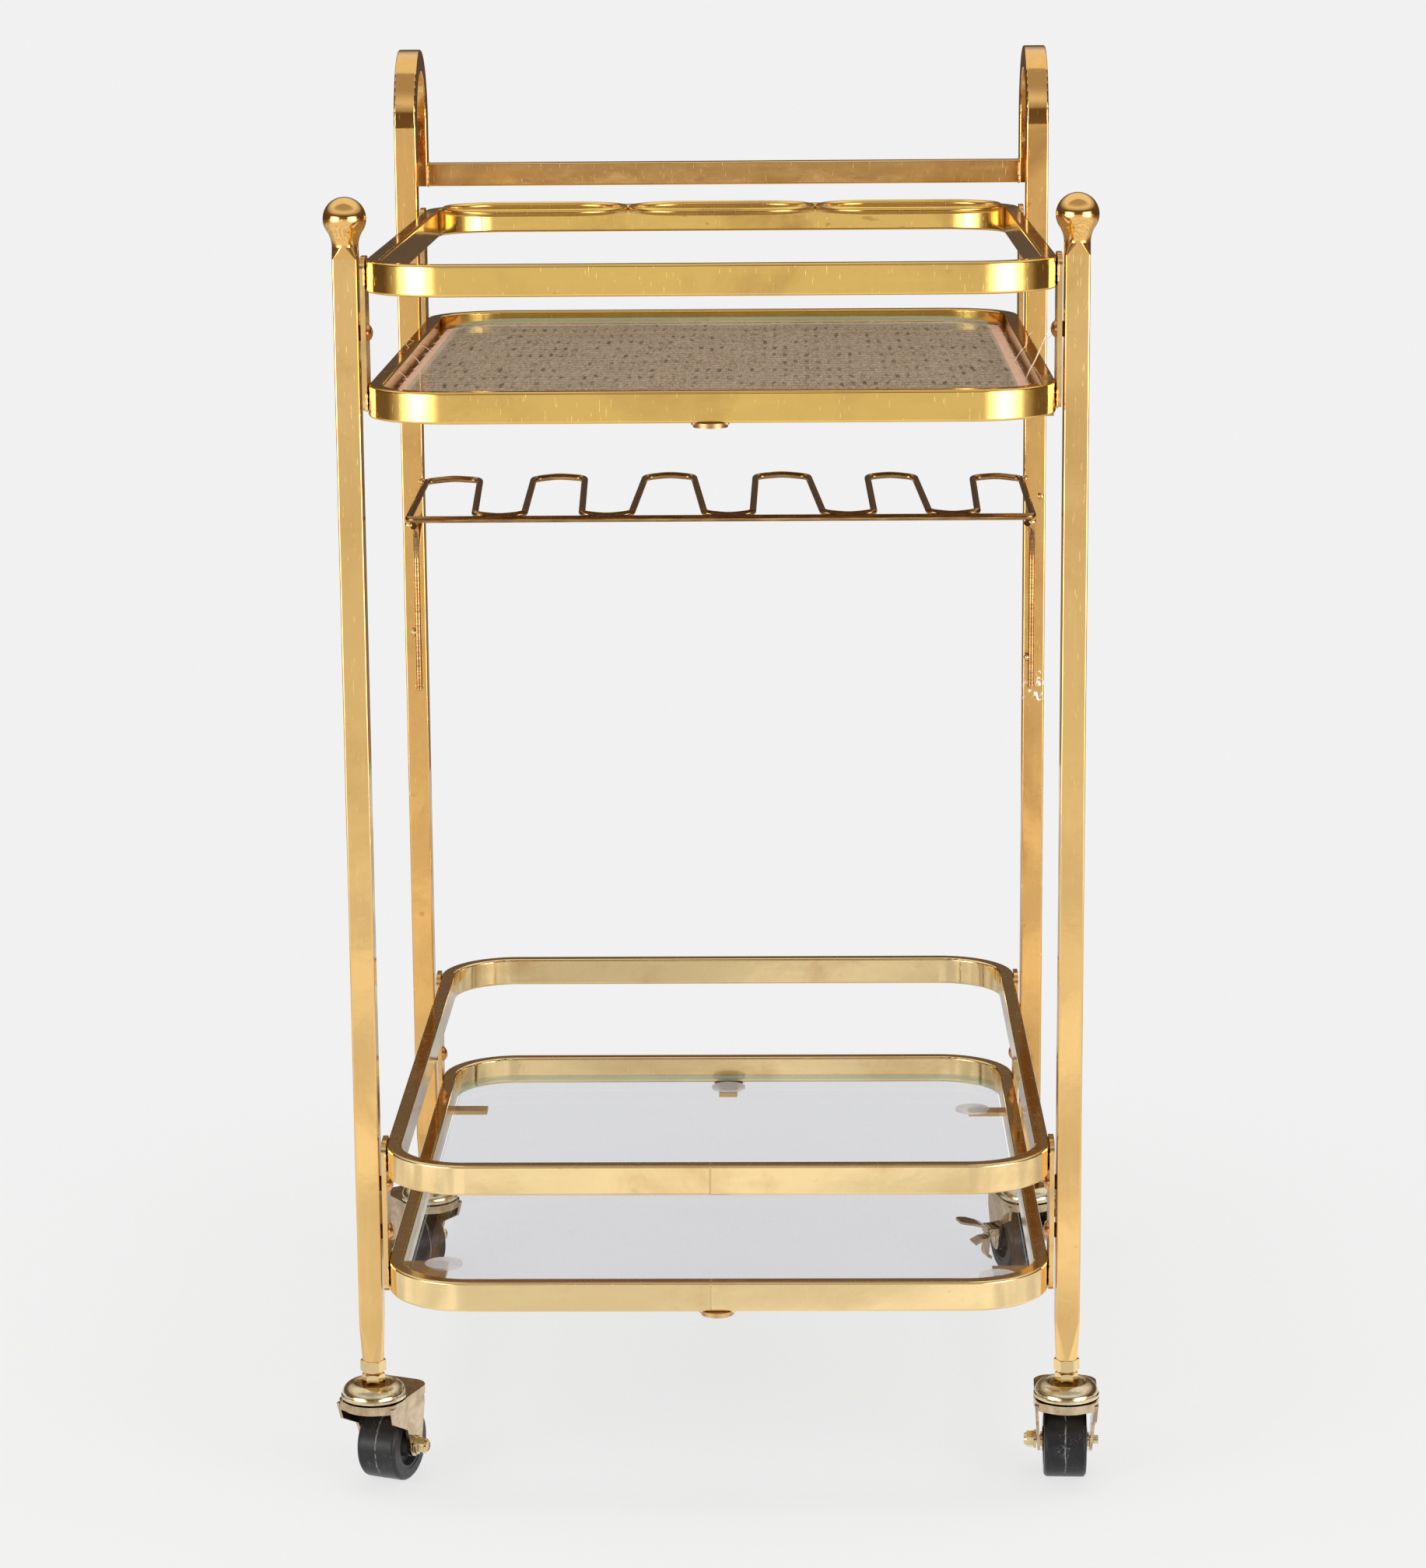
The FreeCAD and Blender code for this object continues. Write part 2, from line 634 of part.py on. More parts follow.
def fork(has_brake):
    """The stamped fork: crown plate, skirt and two blades."""
    crown = crown_outline(0.0, (SKIRT_BOTTOM, CROWN_TOP))
    hollow = crown_outline(SHEET, (SKIRT_BOTTOM - 1, CROWN_TOP - CROWN_THICK))
    shell = crown.cut(hollow)
    shell = shell.cut(cylinder(KINGPIN_RADIUS + RUNNING, (SKIRT_BOTTOM, CROWN_TOP + 1)))
    blade = fork_blade()
    pieces = [shell, blade, mirrored(blade, -1)]
    if has_brake:
        for y in (PEDAL_FRONT - EAR_GAP - EAR_THICK, PEDAL_BACK + EAR_GAP):
            tall = (PIN_Z - EAR_HALF, PIN_Z + EAR_HALF)
            pieces.append(box((PIN_X - EAR_ROUND, EAR_ROOT_X), (y, y + EAR_THICK), tall))
    body = joined(pieces)
    axle_line = rod_along(AXLE_RADIUS, V(-30, TRAIL, WHEEL_RADIUS), V(30, TRAIL, WHEEL_RADIUS))
    body = body.cut(axle_line)
    if has_brake:
        pin_line = rod_along(PIN_RADIUS, V(PIN_X, 0, PIN_Z), V(PIN_X, 50, PIN_Z))
        body = body.cut(pin_line)
    return body


def blade_face():
    """Distance of a blade's outer face from the middle at the axle's height."""
    return TAIL_HALF - (BLADE_TOP - WHEEL_RADIUS) * math.tan(math.radians(BLADE_TILT))


def axle_bolt(nut_side, clear_head):
    """The axle: a plain shaft with a small rounded end opposite the nut."""
    outer = blade_face()
    reach = outer + 8.2
    far = outer + (0.4 if clear_head else 3.8)
    shaft = rod_along(AXLE_RADIUS, V(-far, TRAIL, WHEEL_RADIUS), V(reach, TRAIL, WHEEL_RADIUS))
    return mirrored(shaft, nut_side)


def axle_nut(nut_side):
    """A flanged lock nut with a domed collar."""
    outer = blade_face() + NUT_STAND_OFF
    flange = cylinder(6.2, (0, 1.8))
    barrel = hexagon(10.0, (1.4, 6.6))
    collar = Part.makeCone(4.6, 3.7, 2.0, V(0, 0, 6.2), UP)
    nut = joined([flange, barrel, collar])
    nut = nut.cut(cylinder(AXLE_RADIUS, (-1, 10)))
    nut.rotate(V(0, 0, 0), V(0, 1, 0), 90)
    nut.translate(V(outer, TRAIL, WHEEL_RADIUS))
    return mirrored(nut, nut_side)


def axle_sleeve():
    """The spacer tube on the axle between the blades."""
    half = blade_face() - SHEET - SLEEVE_GAP
    start = V(-half, TRAIL, WHEEL_RADIUS)
    end = V(half, TRAIL, WHEEL_RADIUS)
    return rod_along(SLEEVE_RADIUS, start, end).cut(rod_along(AXLE_RADIUS, start, end))


def on_axle(shape):
    """Turn a shape drawn about Z onto the axle."""
    shape.rotate(V(0, 0, 0), V(0, 1, 0), 90)
    shape.translate(V(0, TRAIL, WHEEL_RADIUS))
    return shape


def wheel_hub():
    """The wheel's hub: bearing boss, recessed web and rim."""
    bore = SLEEVE_RADIUS + RUNNING
    web = HUB_WEB_HALF
    rim = TYRE_HALF - 0.4
    boss = HUB_BOSS_RADIUS
    inner = HUB_RIM_INNER
    profile = [
        (bore, -HUB_HALF), (boss, -HUB_HALF), (boss + 0.6, -web), (inner, -web), (inner + 0.8, -rim),
        (HUB_RADIUS, -rim), (HUB_RADIUS, rim), (inner + 0.8, rim),
        (inner, web), (boss + 0.6, web), (boss, HUB_HALF), (bore, HUB_HALF),
    ]
    return on_axle(revolved(profile))


def tyre():
    """The rubber tread with rounded shoulders and a moulding line."""
    half = TYRE_HALF
    edge = TYRE_EDGE
    profile = [
        (HUB_RADIUS, -half), (WHEEL_RADIUS - edge, -half), (WHEEL_RADIUS - edge * 0.6, -half + edge * 0.12),
        (WHEEL_RADIUS - edge * 0.12, -half + edge * 0.6), (WHEEL_RADIUS - 0.05, -half + edge),
        (WHEEL_RADIUS - 0.05, -0.5), (WHEEL_RADIUS, -0.3), (WHEEL_RADIUS, 0.3), (WHEEL_RADIUS - 0.05, 0.5),
        (WHEEL_RADIUS - 0.05, half - edge), (WHEEL_RADIUS - edge * 0.12, half - edge * 0.6),
        (WHEEL_RADIUS - edge * 0.6, half - edge * 0.12), (WHEEL_RADIUS - edge, half), (HUB_RADIUS, half),
    ]
    return on_axle(revolved(profile))


def from_pin(*steps):
    """Points of the rocker's outline, given as X and Z distances from its pin."""
    return [(PIN_X + x, PIN_Z + z) for x, z in steps]


def brake_pedal():
    """The rocker on the fork's side: barrel, long upper tab, short lower tab and bent toe."""
    y = (PEDAL_FRONT, PEDAL_BACK)
    middle = (y[0] + y[1]) / 2
    wide = (middle - TAB_HALF, middle + TAB_HALF)
    barrel = rod_along(BARREL_RADIUS, V(PIN_X, y[0], PIN_Z), V(PIN_X, y[1], PIN_Z))
    neck = ribbon(from_pin((-1.8, 1.8), (-4.6, 3.6), (-8.6, 5.6)), PEDAL_SHEET, y)
    upper = ribbon(from_pin((-5.8, 4.2), (-9.6, 6.0), (-16.6, 8.4), (-25.6, 9.8)), PEDAL_SHEET, wide)
    toe = from_pin((-1.4, -0.5), (-2.2, -7.0), (-3.6, -17.5), (-2.8, -19.6), (0.0, -21.0))
    web = ribbon(toe, PEDAL_SHEET, y)
    lower = ribbon(from_pin((-2.0, -5.6), (-7.6, -6.2), (-13.6, -9.0)), PEDAL_SHEET, y)
    plan = rounded_slab(28.0, TAB_HALF, 7.0, (0, 60))
    plan.translate(V(PIN_X + 1.4, middle, 0))
    pedal = joined([neck, upper, web, lower]).common(plan)
    pedal = joined([pedal, barrel])
    return pedal.cut(rod_along(PIN_RADIUS + RUNNING, V(PIN_X, 0, PIN_Z), V(PIN_X, 50, PIN_Z)))


def brake_pin():
    """The pin that carries the brake rocker between the fork's ears."""
    overhang = EAR_GAP + EAR_THICK + 0.6
    start = V(PIN_X, PEDAL_FRONT - overhang, PIN_Z)
    end = V(PIN_X, PEDAL_BACK + overhang, PIN_Z)
    return rod_along(PIN_RADIUS, start, end)


def at_caster(shape, key):
    """Turn a caster piece to its swivel angle and move it under its leg."""
    side, row, angle, _ = CASTERS[key]
    shape.rotate(V(0, 0, 0), UP, -angle)
    shape.translate(V(side * LEG_X, row * LEG_Y, 0))
    return shape


def fixed_on_all(make):
    """One piece under each leg, not turned."""
    pieces = []
    for side, row, _, _ in CASTERS.values():
        piece = make()
        piece.translate(V(side * LEG_X, row * LEG_Y, 0))
        pieces.append(piece)
    return separate(pieces)


# ---- the whole cart -----------------------------------------------------------------------
def frame_nodes():
    """Every piece of the frame body."""
    nodes = {}
    for name, side in SIDES.items():
        nodes["front_leg_" + name] = front_leg(side)
        nodes["ball_finial_" + name] = ball_finial(side)
        nodes["rear_leg_" + name] = rear_leg(side)
        nodes["rack_stay_" + name] = rack_stay(side)
    nodes["handle_bar"] = handle_bar()
    nodes["top_rail"] = rail(TOP_RAIL_Z)
    nodes["upper_tray_rail"] = rail(UPPER_TRAY_Z)
    nodes["gallery_rail"] = rail(GALLERY_Z)
    nodes["lower_tray_rail"] = rail(LOWER_TRAY_Z)
    for index, name in enumerate(("left", "centre", "right")):
        nodes["bottle_ring_" + name] = bottle_ring(index)
    nodes["upper_plates"] = connector_plates(UPPER_TRAY_Z - RAIL_TALL + 3, TOP_RAIL_Z + 1.5, UPPER_SCREWS_Z)
    nodes["lower_plates"] = connector_plates(LOWER_TRAY_Z - RAIL_TALL - 2, GALLERY_Z + 2, LOWER_SCREWS_Z)
    nodes["rail_screws"] = rail_screws()
    nodes["leg_spacers"] = leg_spacers()
    nodes["upper_tray_tabs"] = tray_tabs(UPPER_TRAY_Z)
    nodes["lower_tray_tabs"] = tray_tabs(LOWER_TRAY_Z)
    nodes["glass_pads"] = glass_pads()
    nodes["woven_panel"] = woven_panel()
    panel_top = UPPER_TRAY_Z - RAIL_TALL + PANEL_THICK
    nodes["upper_glass"] = pane(UPPER_GLASS_INSET, panel_top + 0.5, 50.0)
    pad_top = LOWER_TRAY_Z - RAIL_TALL + PAD_THICK
    nodes["lower_glass"] = pane(LOWER_GLASS_GAP, pad_top, TRAY_CORNER - RAIL_WIDE)
    nodes["rack_wave_wire"] = rack_wave_wire()
    nodes["rack_front_bar"] = rack_front_bar()
    nodes["caster_stems"] = fixed_on_all(caster_stem)
    nodes["jam_nuts"] = fixed_on_all(jam_nut)
    nodes["raceway_caps"] = fixed_on_all(raceway_cap)
    return nodes


def caster_nodes(key):
    """The swivelling and rolling pieces of one caster."""
    nut_side = CASTERS[key][3]
    has_brake = key == "rr"
    pieces = {
        "fork": fork(has_brake),
        "axle_bolt": axle_bolt(nut_side, has_brake),
        "axle_nut": axle_nut(nut_side),
        "axle_sleeve": axle_sleeve(),
        "wheel_hub": wheel_hub(),
        "tyre": tyre(),
    }
    nodes = {name + "_" + key: at_caster(piece, key) for name, piece in pieces.items()}
    if has_brake:
        nodes["brake_pedal"] = at_caster(brake_pedal(), key)
        nodes["brake_pin"] = at_caster(brake_pin(), key)
    return nodes


def place_all(nodes):
    """Move every node so that the origin is the bottom centre of the overall box."""
    whole = Part.makeCompound(list(nodes.values())).optimalBoundingBox(False)
    shift = V(-whole.Center.x, -whole.Center.y, -whole.ZMin)
    for shape in nodes.values():
        shape.translate(shift)
    print("origin moved by", round(shift.x, 3), round(shift.y, 3), round(shift.z, 3))


def main():
    nodes = frame_nodes()
    for key in CASTERS:
        nodes.update(caster_nodes(key))
    place_all(nodes)
    os.makedirs("parts", exist_ok=True)
    for name, shape in nodes.items():
        shape.exportStep("parts/" + name + ".step")
    print(len(nodes), "nodes")


main()
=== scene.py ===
import math
import random

import bpy
from mathutils import Matrix, Vector, noise

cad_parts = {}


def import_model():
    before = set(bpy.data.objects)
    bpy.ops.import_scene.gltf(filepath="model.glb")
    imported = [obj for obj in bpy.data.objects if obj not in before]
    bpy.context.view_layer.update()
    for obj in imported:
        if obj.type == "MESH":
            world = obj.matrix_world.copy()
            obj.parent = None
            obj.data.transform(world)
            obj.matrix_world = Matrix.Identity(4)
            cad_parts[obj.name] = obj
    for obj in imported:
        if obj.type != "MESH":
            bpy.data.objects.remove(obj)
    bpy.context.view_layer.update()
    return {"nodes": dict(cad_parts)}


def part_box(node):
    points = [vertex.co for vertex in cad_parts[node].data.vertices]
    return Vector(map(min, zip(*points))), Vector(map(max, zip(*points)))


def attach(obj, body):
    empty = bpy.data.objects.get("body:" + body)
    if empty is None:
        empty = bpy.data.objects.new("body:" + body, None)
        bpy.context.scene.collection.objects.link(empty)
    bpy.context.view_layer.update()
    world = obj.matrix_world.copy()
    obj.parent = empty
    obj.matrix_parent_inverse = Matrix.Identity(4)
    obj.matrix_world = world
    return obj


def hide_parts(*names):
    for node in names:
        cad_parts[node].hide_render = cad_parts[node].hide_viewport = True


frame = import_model()
nodes = frame["nodes"]
random.seed(7)

MM = 0.001
LEG_HALF = 8 * MM
PLATE_EDGE = 12.9 * MM
PANEL_CORNER = 43.5 * MM
PANEL_HALF = (0.203, 0.2635)
LAMP_STRENGTH = 7.0
BACKDROP = 0.88


# ---- places read from the frame ------------------------------------------------------------
def middle(node):
    low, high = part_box(node)
    return (low + high) / 2


def long_way(node):
    """The level direction in which a node's mesh is longest."""
    points = [v.co for v in nodes[node].data.vertices]
    mean = sum(points, Vector()) / len(points)
    xx = sum((p.x - mean.x) ** 2 for p in points)
    yy = sum((p.y - mean.y) ** 2 for p in points)
    xy = sum((p.x - mean.x) * (p.y - mean.y) for p in points)
    angle = math.atan2(2 * xy, xx - yy) / 2
    return Vector((math.cos(angle), math.sin(angle), 0))


LEG = {
    "front_left": middle("front_leg_left"),
    "front_right": middle("front_leg_right"),
    "rear_left": Vector((middle("rear_leg_left").x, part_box("rear_leg_left")[0].y + LEG_HALF, 0)),
    "rear_right": Vector((middle("rear_leg_right").x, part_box("rear_leg_right")[0].y + LEG_HALF, 0)),
}
CENTRE_X = middle("top_rail").x
TRAY_Y = middle("top_rail").y


# ---- shader building -----------------------------------------------------------------------
class Tree:
    """A small helper that builds one material's nodes."""

    def __init__(self, name):
        self.material = bpy.data.materials.new(name)
        self.material.use_nodes = True
        self.tree = self.material.node_tree
        self.tree.nodes.clear()
        self.output = self.add("ShaderNodeOutputMaterial")
        self.coords = self.add("ShaderNodeTexCoord").outputs["Object"]

    def add(self, kind, **settings):
        node = self.tree.nodes.new(kind)
        for key, value in settings.items():
            setattr(node, key, value)
        return node

    def plug(self, value, socket):
        """Link an output to a socket, or set the socket to a plain value."""
        if isinstance(value, bpy.types.NodeSocket):
            self.tree.links.new(value, socket)
        else:
            socket.default_value = value

    def stretched(self, scale, turn=(0, 0, 0)):
        """Object coordinates scaled differently along each axis."""
        mapping = self.add("ShaderNodeMapping")
        self.plug(self.coords, mapping.inputs["Vector"])
        mapping.inputs["Rotation"].default_value = turn
        mapping.inputs["Scale"].default_value = scale
        return mapping.outputs["Vector"]

    def noise(self, scale, detail=3.0, rough=0.5, vector=None, distortion=0.0):
        node = self.add("ShaderNodeTexNoise")
        self.plug(vector or self.coords, node.inputs["Vector"])
        node.inputs["Scale"].default_value = scale
        node.inputs["Detail"].default_value = detail
        node.inputs["Roughness"].default_value = rough
        node.inputs["Distortion"].default_value = distortion
        return node.outputs["Fac"]

    def math(self, operation, a, b=0.0, c=0.0, clamp=False):
        node = self.add("ShaderNodeMath", operation=operation, use_clamp=clamp)
        for value, socket in zip((a, b, c), node.inputs):
            self.plug(value, socket)
        return node.outputs[0]

    def step(self, value, low, high, to=(0.0, 1.0)):
        """A smooth step from to[0] to to[1] as value goes from low to high."""
        node = self.add("ShaderNodeMapRange", interpolation_type="SMOOTHSTEP")
        self.plug(value, node.inputs["Value"])
        for name, number in zip(("From Min", "From Max", "To Min", "To Max"), (low, high, to[0], to[1])):
            node.inputs[name].default_value = number
        return node.outputs["Result"]

    def blend(self, factor, a, b, mode="MIX"):
        node = self.add("ShaderNodeMix", data_type="RGBA", blend_type=mode)
        self.plug(factor, node.inputs["Factor"])
        for value, socket in ((a, node.inputs[6]), (b, node.inputs[7])):
            self.plug(value if isinstance(value, bpy.types.NodeSocket) else (*value, 1.0), socket)
        return node.outputs[2]

    def axis(self, name, source=None):
        node = self.add("ShaderNodeSeparateXYZ")
        self.plug(source or self.coords, node.inputs[0])
        return node.outputs[name]

    def facing(self, name):
        """A component of the surface normal."""
        geometry = self.add("ShaderNodeNewGeometry")
        return self.axis(name, geometry.outputs["Normal"])

    def bump(self, height, distance, strength=1.0, under=None):
        node = self.add("ShaderNodeBump")
        self.plug(height, node.inputs["Height"])
        node.inputs["Distance"].default_value = distance
        node.inputs["Strength"].default_value = strength
        if under is not None:
            self.plug(under, node.inputs["Normal"])
        return node.outputs["Normal"]

    def mix_shaders(self, factor, first, second):
        node = self.add("ShaderNodeMixShader")
        self.plug(factor, node.inputs[0])
        self.plug(first.outputs[0], node.inputs[1])
        self.plug(second.outputs[0], node.inputs[2])
        return node

    def surface(self, **values):
        """A Principled shader on the output. A name's underscore stands for a space."""
        shader = self.add("ShaderNodeBsdfPrincipled")
        for key, value in values.items():
            socket = shader.inputs[key.replace("_", " ")]
            if isinstance(value, tuple) and len(value) == 3:
                value = (*value, 1.0)
            self.plug(value, socket)
        self.plug(shader.outputs[0], self.output.inputs["Surface"])
        return shader


def plated(name, base, tarnish, rough=0.14, wear=1.0, grain=(1, 1, 1), ripple=1.0, seam=None, chips=None,
           dust=1.0):
    """Polished brass plating: cloudy tarnish, pits, fine scratches, dust on top, and ripples in the tube.

    grain stretches the brighter smears along the tube, seam is the x of the weld in a rail's front run,
    and chips is the band of heights where the plating of the right leg has flaked off.
    """
    t = Tree(name)
    cloud = t.step(t.noise(11, 5, 0.6, distortion=0.6), 0.47, 0.72)
    smear = t.step(t.noise(1.0, 3, 0.6, t.stretched(tuple(24 * share for share in grain))), 0.5, 0.75)
    pits = t.step(t.noise(900, 2, 0.7), 0.69, 0.76)
    pits = t.math("MULTIPLY", pits, t.step(t.noise(26, 3, 0.6), 0.46, 0.66))
    hair = t.step(t.noise(1.0, 1, 0.5, t.stretched((2600, 90, 90), (0.2, 0.5, 0.7))), 0.7, 0.78)
    crossed = t.step(t.noise(1.0, 1, 0.5, t.stretched((70, 2400, 110), (0.9, 0.3, 0.2))), 0.71, 0.79)
    hairs = t.math("MAXIMUM", hair, crossed)
    colour = t.blend(t.math("MULTIPLY", cloud, 0.45 * wear), base, tarnish)
    colour = t.blend(t.math("MULTIPLY", smear, 0.3 * wear), colour, tuple(min(1.0, c * 1.18) for c in base))
    colour = t.blend(t.math("MULTIPLY", pits, 0.75 * wear), colour, (0.10, 0.06, 0.025))
    metal = 1.0
    finish = t.math("MULTIPLY_ADD", cloud, 0.10 * wear, rough)
    finish = t.math("MULTIPLY_ADD", pits, 0.35, finish)
    finish = t.math("MULTIPLY_ADD", hairs, 0.16 * wear, finish)
    if dust:
        specks = t.step(t.noise(1300, 1, 0.5), 0.66, 0.72)
        specks = t.math("MULTIPLY", specks, t.step(t.noise(60, 2), 0.45, 0.6))
        on_top = t.step(t.facing("Z"), 0.8, 0.97)
        dusty = t.math("MULTIPLY", t.math("MULTIPLY", specks, on_top), 0.55 * dust)
        colour = t.blend(dusty, colour, (0.75, 0.70, 0.60))
        finish = t.math("MULTIPLY_ADD", dusty, 0.6, finish)
    if seam is not None:
        near = t.math("ABSOLUTE", t.math("SUBTRACT", t.axis("X"), seam))
        front = t.step(t.axis("Y"), -0.2, -0.25)
        groove = t.math("MULTIPLY", t.step(near, 0.0, 0.9 * MM, (1.0, 0.0)), front)
        swell = t.math("MULTIPLY", t.step(near, 0.0, 9 * MM, (1.0, 0.0)), front)
        colour = t.blend(t.math("MULTIPLY", groove, 0.3), colour, (0.22, 0.12, 0.04))
        finish = t.math("MULTIPLY_ADD", groove, 0.25, finish)
    if chips is not None:
        height = t.axis("Z")
        band = t.math("MULTIPLY", t.step(height, chips[0], chips[0] + 4 * MM),
                      t.step(height, chips[1], chips[1] + 4 * MM, (1.0, 0.0)))
        flakes = t.math("MULTIPLY", band, t.step(t.noise(170, 3, 0.7, distortion=1.5), 0.57, 0.6))
        flakes = t.math("MULTIPLY", flakes, t.step(t.axis("X"), 0.2, 0.21))
        colour = t.blend(flakes, colour, (0.82, 0.80, 0.80))
        finish = t.math("MULTIPLY_ADD", flakes, 0.4, finish)
        metal = t.math("SUBTRACT", 1.0, flakes, clamp=True)
    normal = t.bump(t.noise(30, 2), 0.55 * MM * ripple, 0.35)
    normal = t.bump(t.noise(240, 3), 0.05 * MM * ripple, 0.35, normal)
    normal = t.bump(t.math("SUBTRACT", 1.0, t.math("ADD", hairs, pits)), 0.03 * MM, 0.5, normal)
    if seam is not None:
        normal = t.bump(swell, 0.35 * MM, 0.8, normal)
        normal = t.bump(groove, 0.15 * MM, 0.8, normal)
    t.surface(Base_Color=colour, Metallic=metal, Roughness=finish, Normal=normal)
    return t.material


def bronze_wire(name):
    """Plated wire with a dark bronze cast and a coppery drawn grain."""
    t = Tree(name)
    streak = t.noise(1.0, 4, 0.6, t.stretched((60, 900, 900)))
    blotch = t.step(t.noise(45, 4, 0.6), 0.42, 0.7)
    pits = t.step(t.noise(1500, 2, 0.7), 0.68, 0.74)
    colour = t.blend(t.step(streak, 0.35, 0.7), (0.30, 0.16, 0.065), (0.62, 0.38, 0.15))
    colour = t.blend(t.math("MULTIPLY", blotch, 0.4), colour, (0.20, 0.10, 0.05))
    colour = t.blend(t.math("MULTIPLY", pits, 0.7), colour, (0.12, 0.07, 0.04))
    finish = t.math("MULTIPLY_ADD", blotch, 0.10, 0.10)
    normal = t.bump(streak, 0.04 * MM, 0.5)
    t.surface(Base_Color=colour, Metallic=1.0, Roughness=finish, Normal=normal)
    return t.material


def zinc(name, base, shade, rough=0.2, mottle=1.0):
    """Yellow-passivated zinc: greenish and rosy clouds over pressed steel."""
    t = Tree(name)
    cloud = t.noise(70, 4, 0.6, distortion=0.8)
    rosy = t.step(t.noise(38, 3, 0.6), 0.52, 0.72)
    green = t.step(t.noise(52, 3, 0.6, t.stretched((1, 1, 1), (1, 2, 0.5))), 0.5, 0.72)
    grime = t.step(t.noise(160, 4, 0.7), 0.5, 0.72)
    colour = t.blend(t.step(cloud, 0.35, 0.7), shade, base)
    colour = t.blend(t.math("MULTIPLY", rosy, 0.3 * mottle), colour, (0.55, 0.34, 0.30))
    colour = t.blend(t.math("MULTIPLY", green, 0.3 * mottle), colour, (0.38, 0.42, 0.26))
    colour = t.blend(t.math("MULTIPLY", grime, 0.4 * mottle), colour, (0.14, 0.11, 0.07))
    finish = t.math("MULTIPLY_ADD", grime, 0.2, t.math("MULTIPLY_ADD", cloud, 0.1, rough))
    normal = t.bump(t.noise(120, 3), 0.12 * MM, 0.4)
    normal = t.bump(t.noise(900, 3, 0.7), 0.03 * MM, 0.5, normal)
    t.surface(Base_Color=colour, Metallic=1.0, Roughness=finish, Normal=normal)
    return t.material


def black_rubber(name, centre, axle):
    """Tread rubber: charcoal, scuffed pale, ground dull, with a pale moulding line round the middle."""
    t = Tree(name)
    offset = t.add("ShaderNodeVectorMath", operation="SUBTRACT")
    t.plug(t.coords, offset.inputs[0])
    offset.inputs[1].default_value = centre
    across = t.add("ShaderNodeVectorMath", operation="DOT_PRODUCT")
    t.plug(offset.outputs["Vector"], across.inputs[0])
    across.inputs[1].default_value = axle
    wander = t.math("MULTIPLY", t.math("SUBTRACT", t.noise(110, 2), 0.5), 2.0 * MM)
    off_line = t.math("ABSOLUTE", t.math("ADD", across.outputs["Value"], wander))
    line = t.step(off_line, 0.2 * MM, 0.7 * MM, (1.0, 0.0))
    line = t.math("MULTIPLY", line, t.step(t.noise(240, 3), 0.36, 0.56))
    worn_band = t.step(off_line, 3 * MM, 9 * MM, (1.0, 0.35))
    scuff = t.step(t.noise(900, 3, 0.7), 0.56, 0.66)
    scuff = t.math("MULTIPLY", scuff, t.step(t.noise(110, 4, 0.6), 0.48, 0.62))
    scuff = t.math("MAXIMUM", t.math("MULTIPLY", scuff, worn_band), line)
    dirt = t.step(t.noise(300, 4, 0.7), 0.5, 0.75)
    colour = t.blend(t.noise(90, 4), (0.006, 0.006, 0.007), (0.015, 0.015, 0.016))
    colour = t.blend(t.math("MULTIPLY", dirt, 0.25), colour, (0.045, 0.044, 0.043))
    colour = t.blend(t.math("MULTIPLY", scuff, 0.6), colour, (0.34, 0.34, 0.34))
    finish = t.math("MULTIPLY_ADD", scuff, 0.3, t.math("MULTIPLY_ADD", dirt, 0.15, 0.36))
    normal = t.bump(t.noise(500, 4, 0.7), 0.08 * MM, 0.5)
    normal = t.bump(scuff, 0.08 * MM, 0.5, normal)
    t.surface(Base_Color=colour, Roughness=finish, Normal=normal, Specular_IOR_Level=0.4)
    return t.material


def moulded(name, base, rough=0.45):
    """Moulded plastic with a fine grain and worn, greyish high spots."""
    t = Tree(name)
    worn = t.step(t.noise(120, 4, 0.6), 0.5, 0.7)
    colour = t.blend(t.math("MULTIPLY", worn, 0.35), base, tuple(c * 2.2 + 0.02 for c in base))
    finish = t.math("MULTIPLY_ADD", worn, 0.2, rough)
    t.surface(Base_Color=colour, Roughness=finish, Normal=t.bump(t.noise(1200, 2), 0.04 * MM, 0.4))
    return t.material


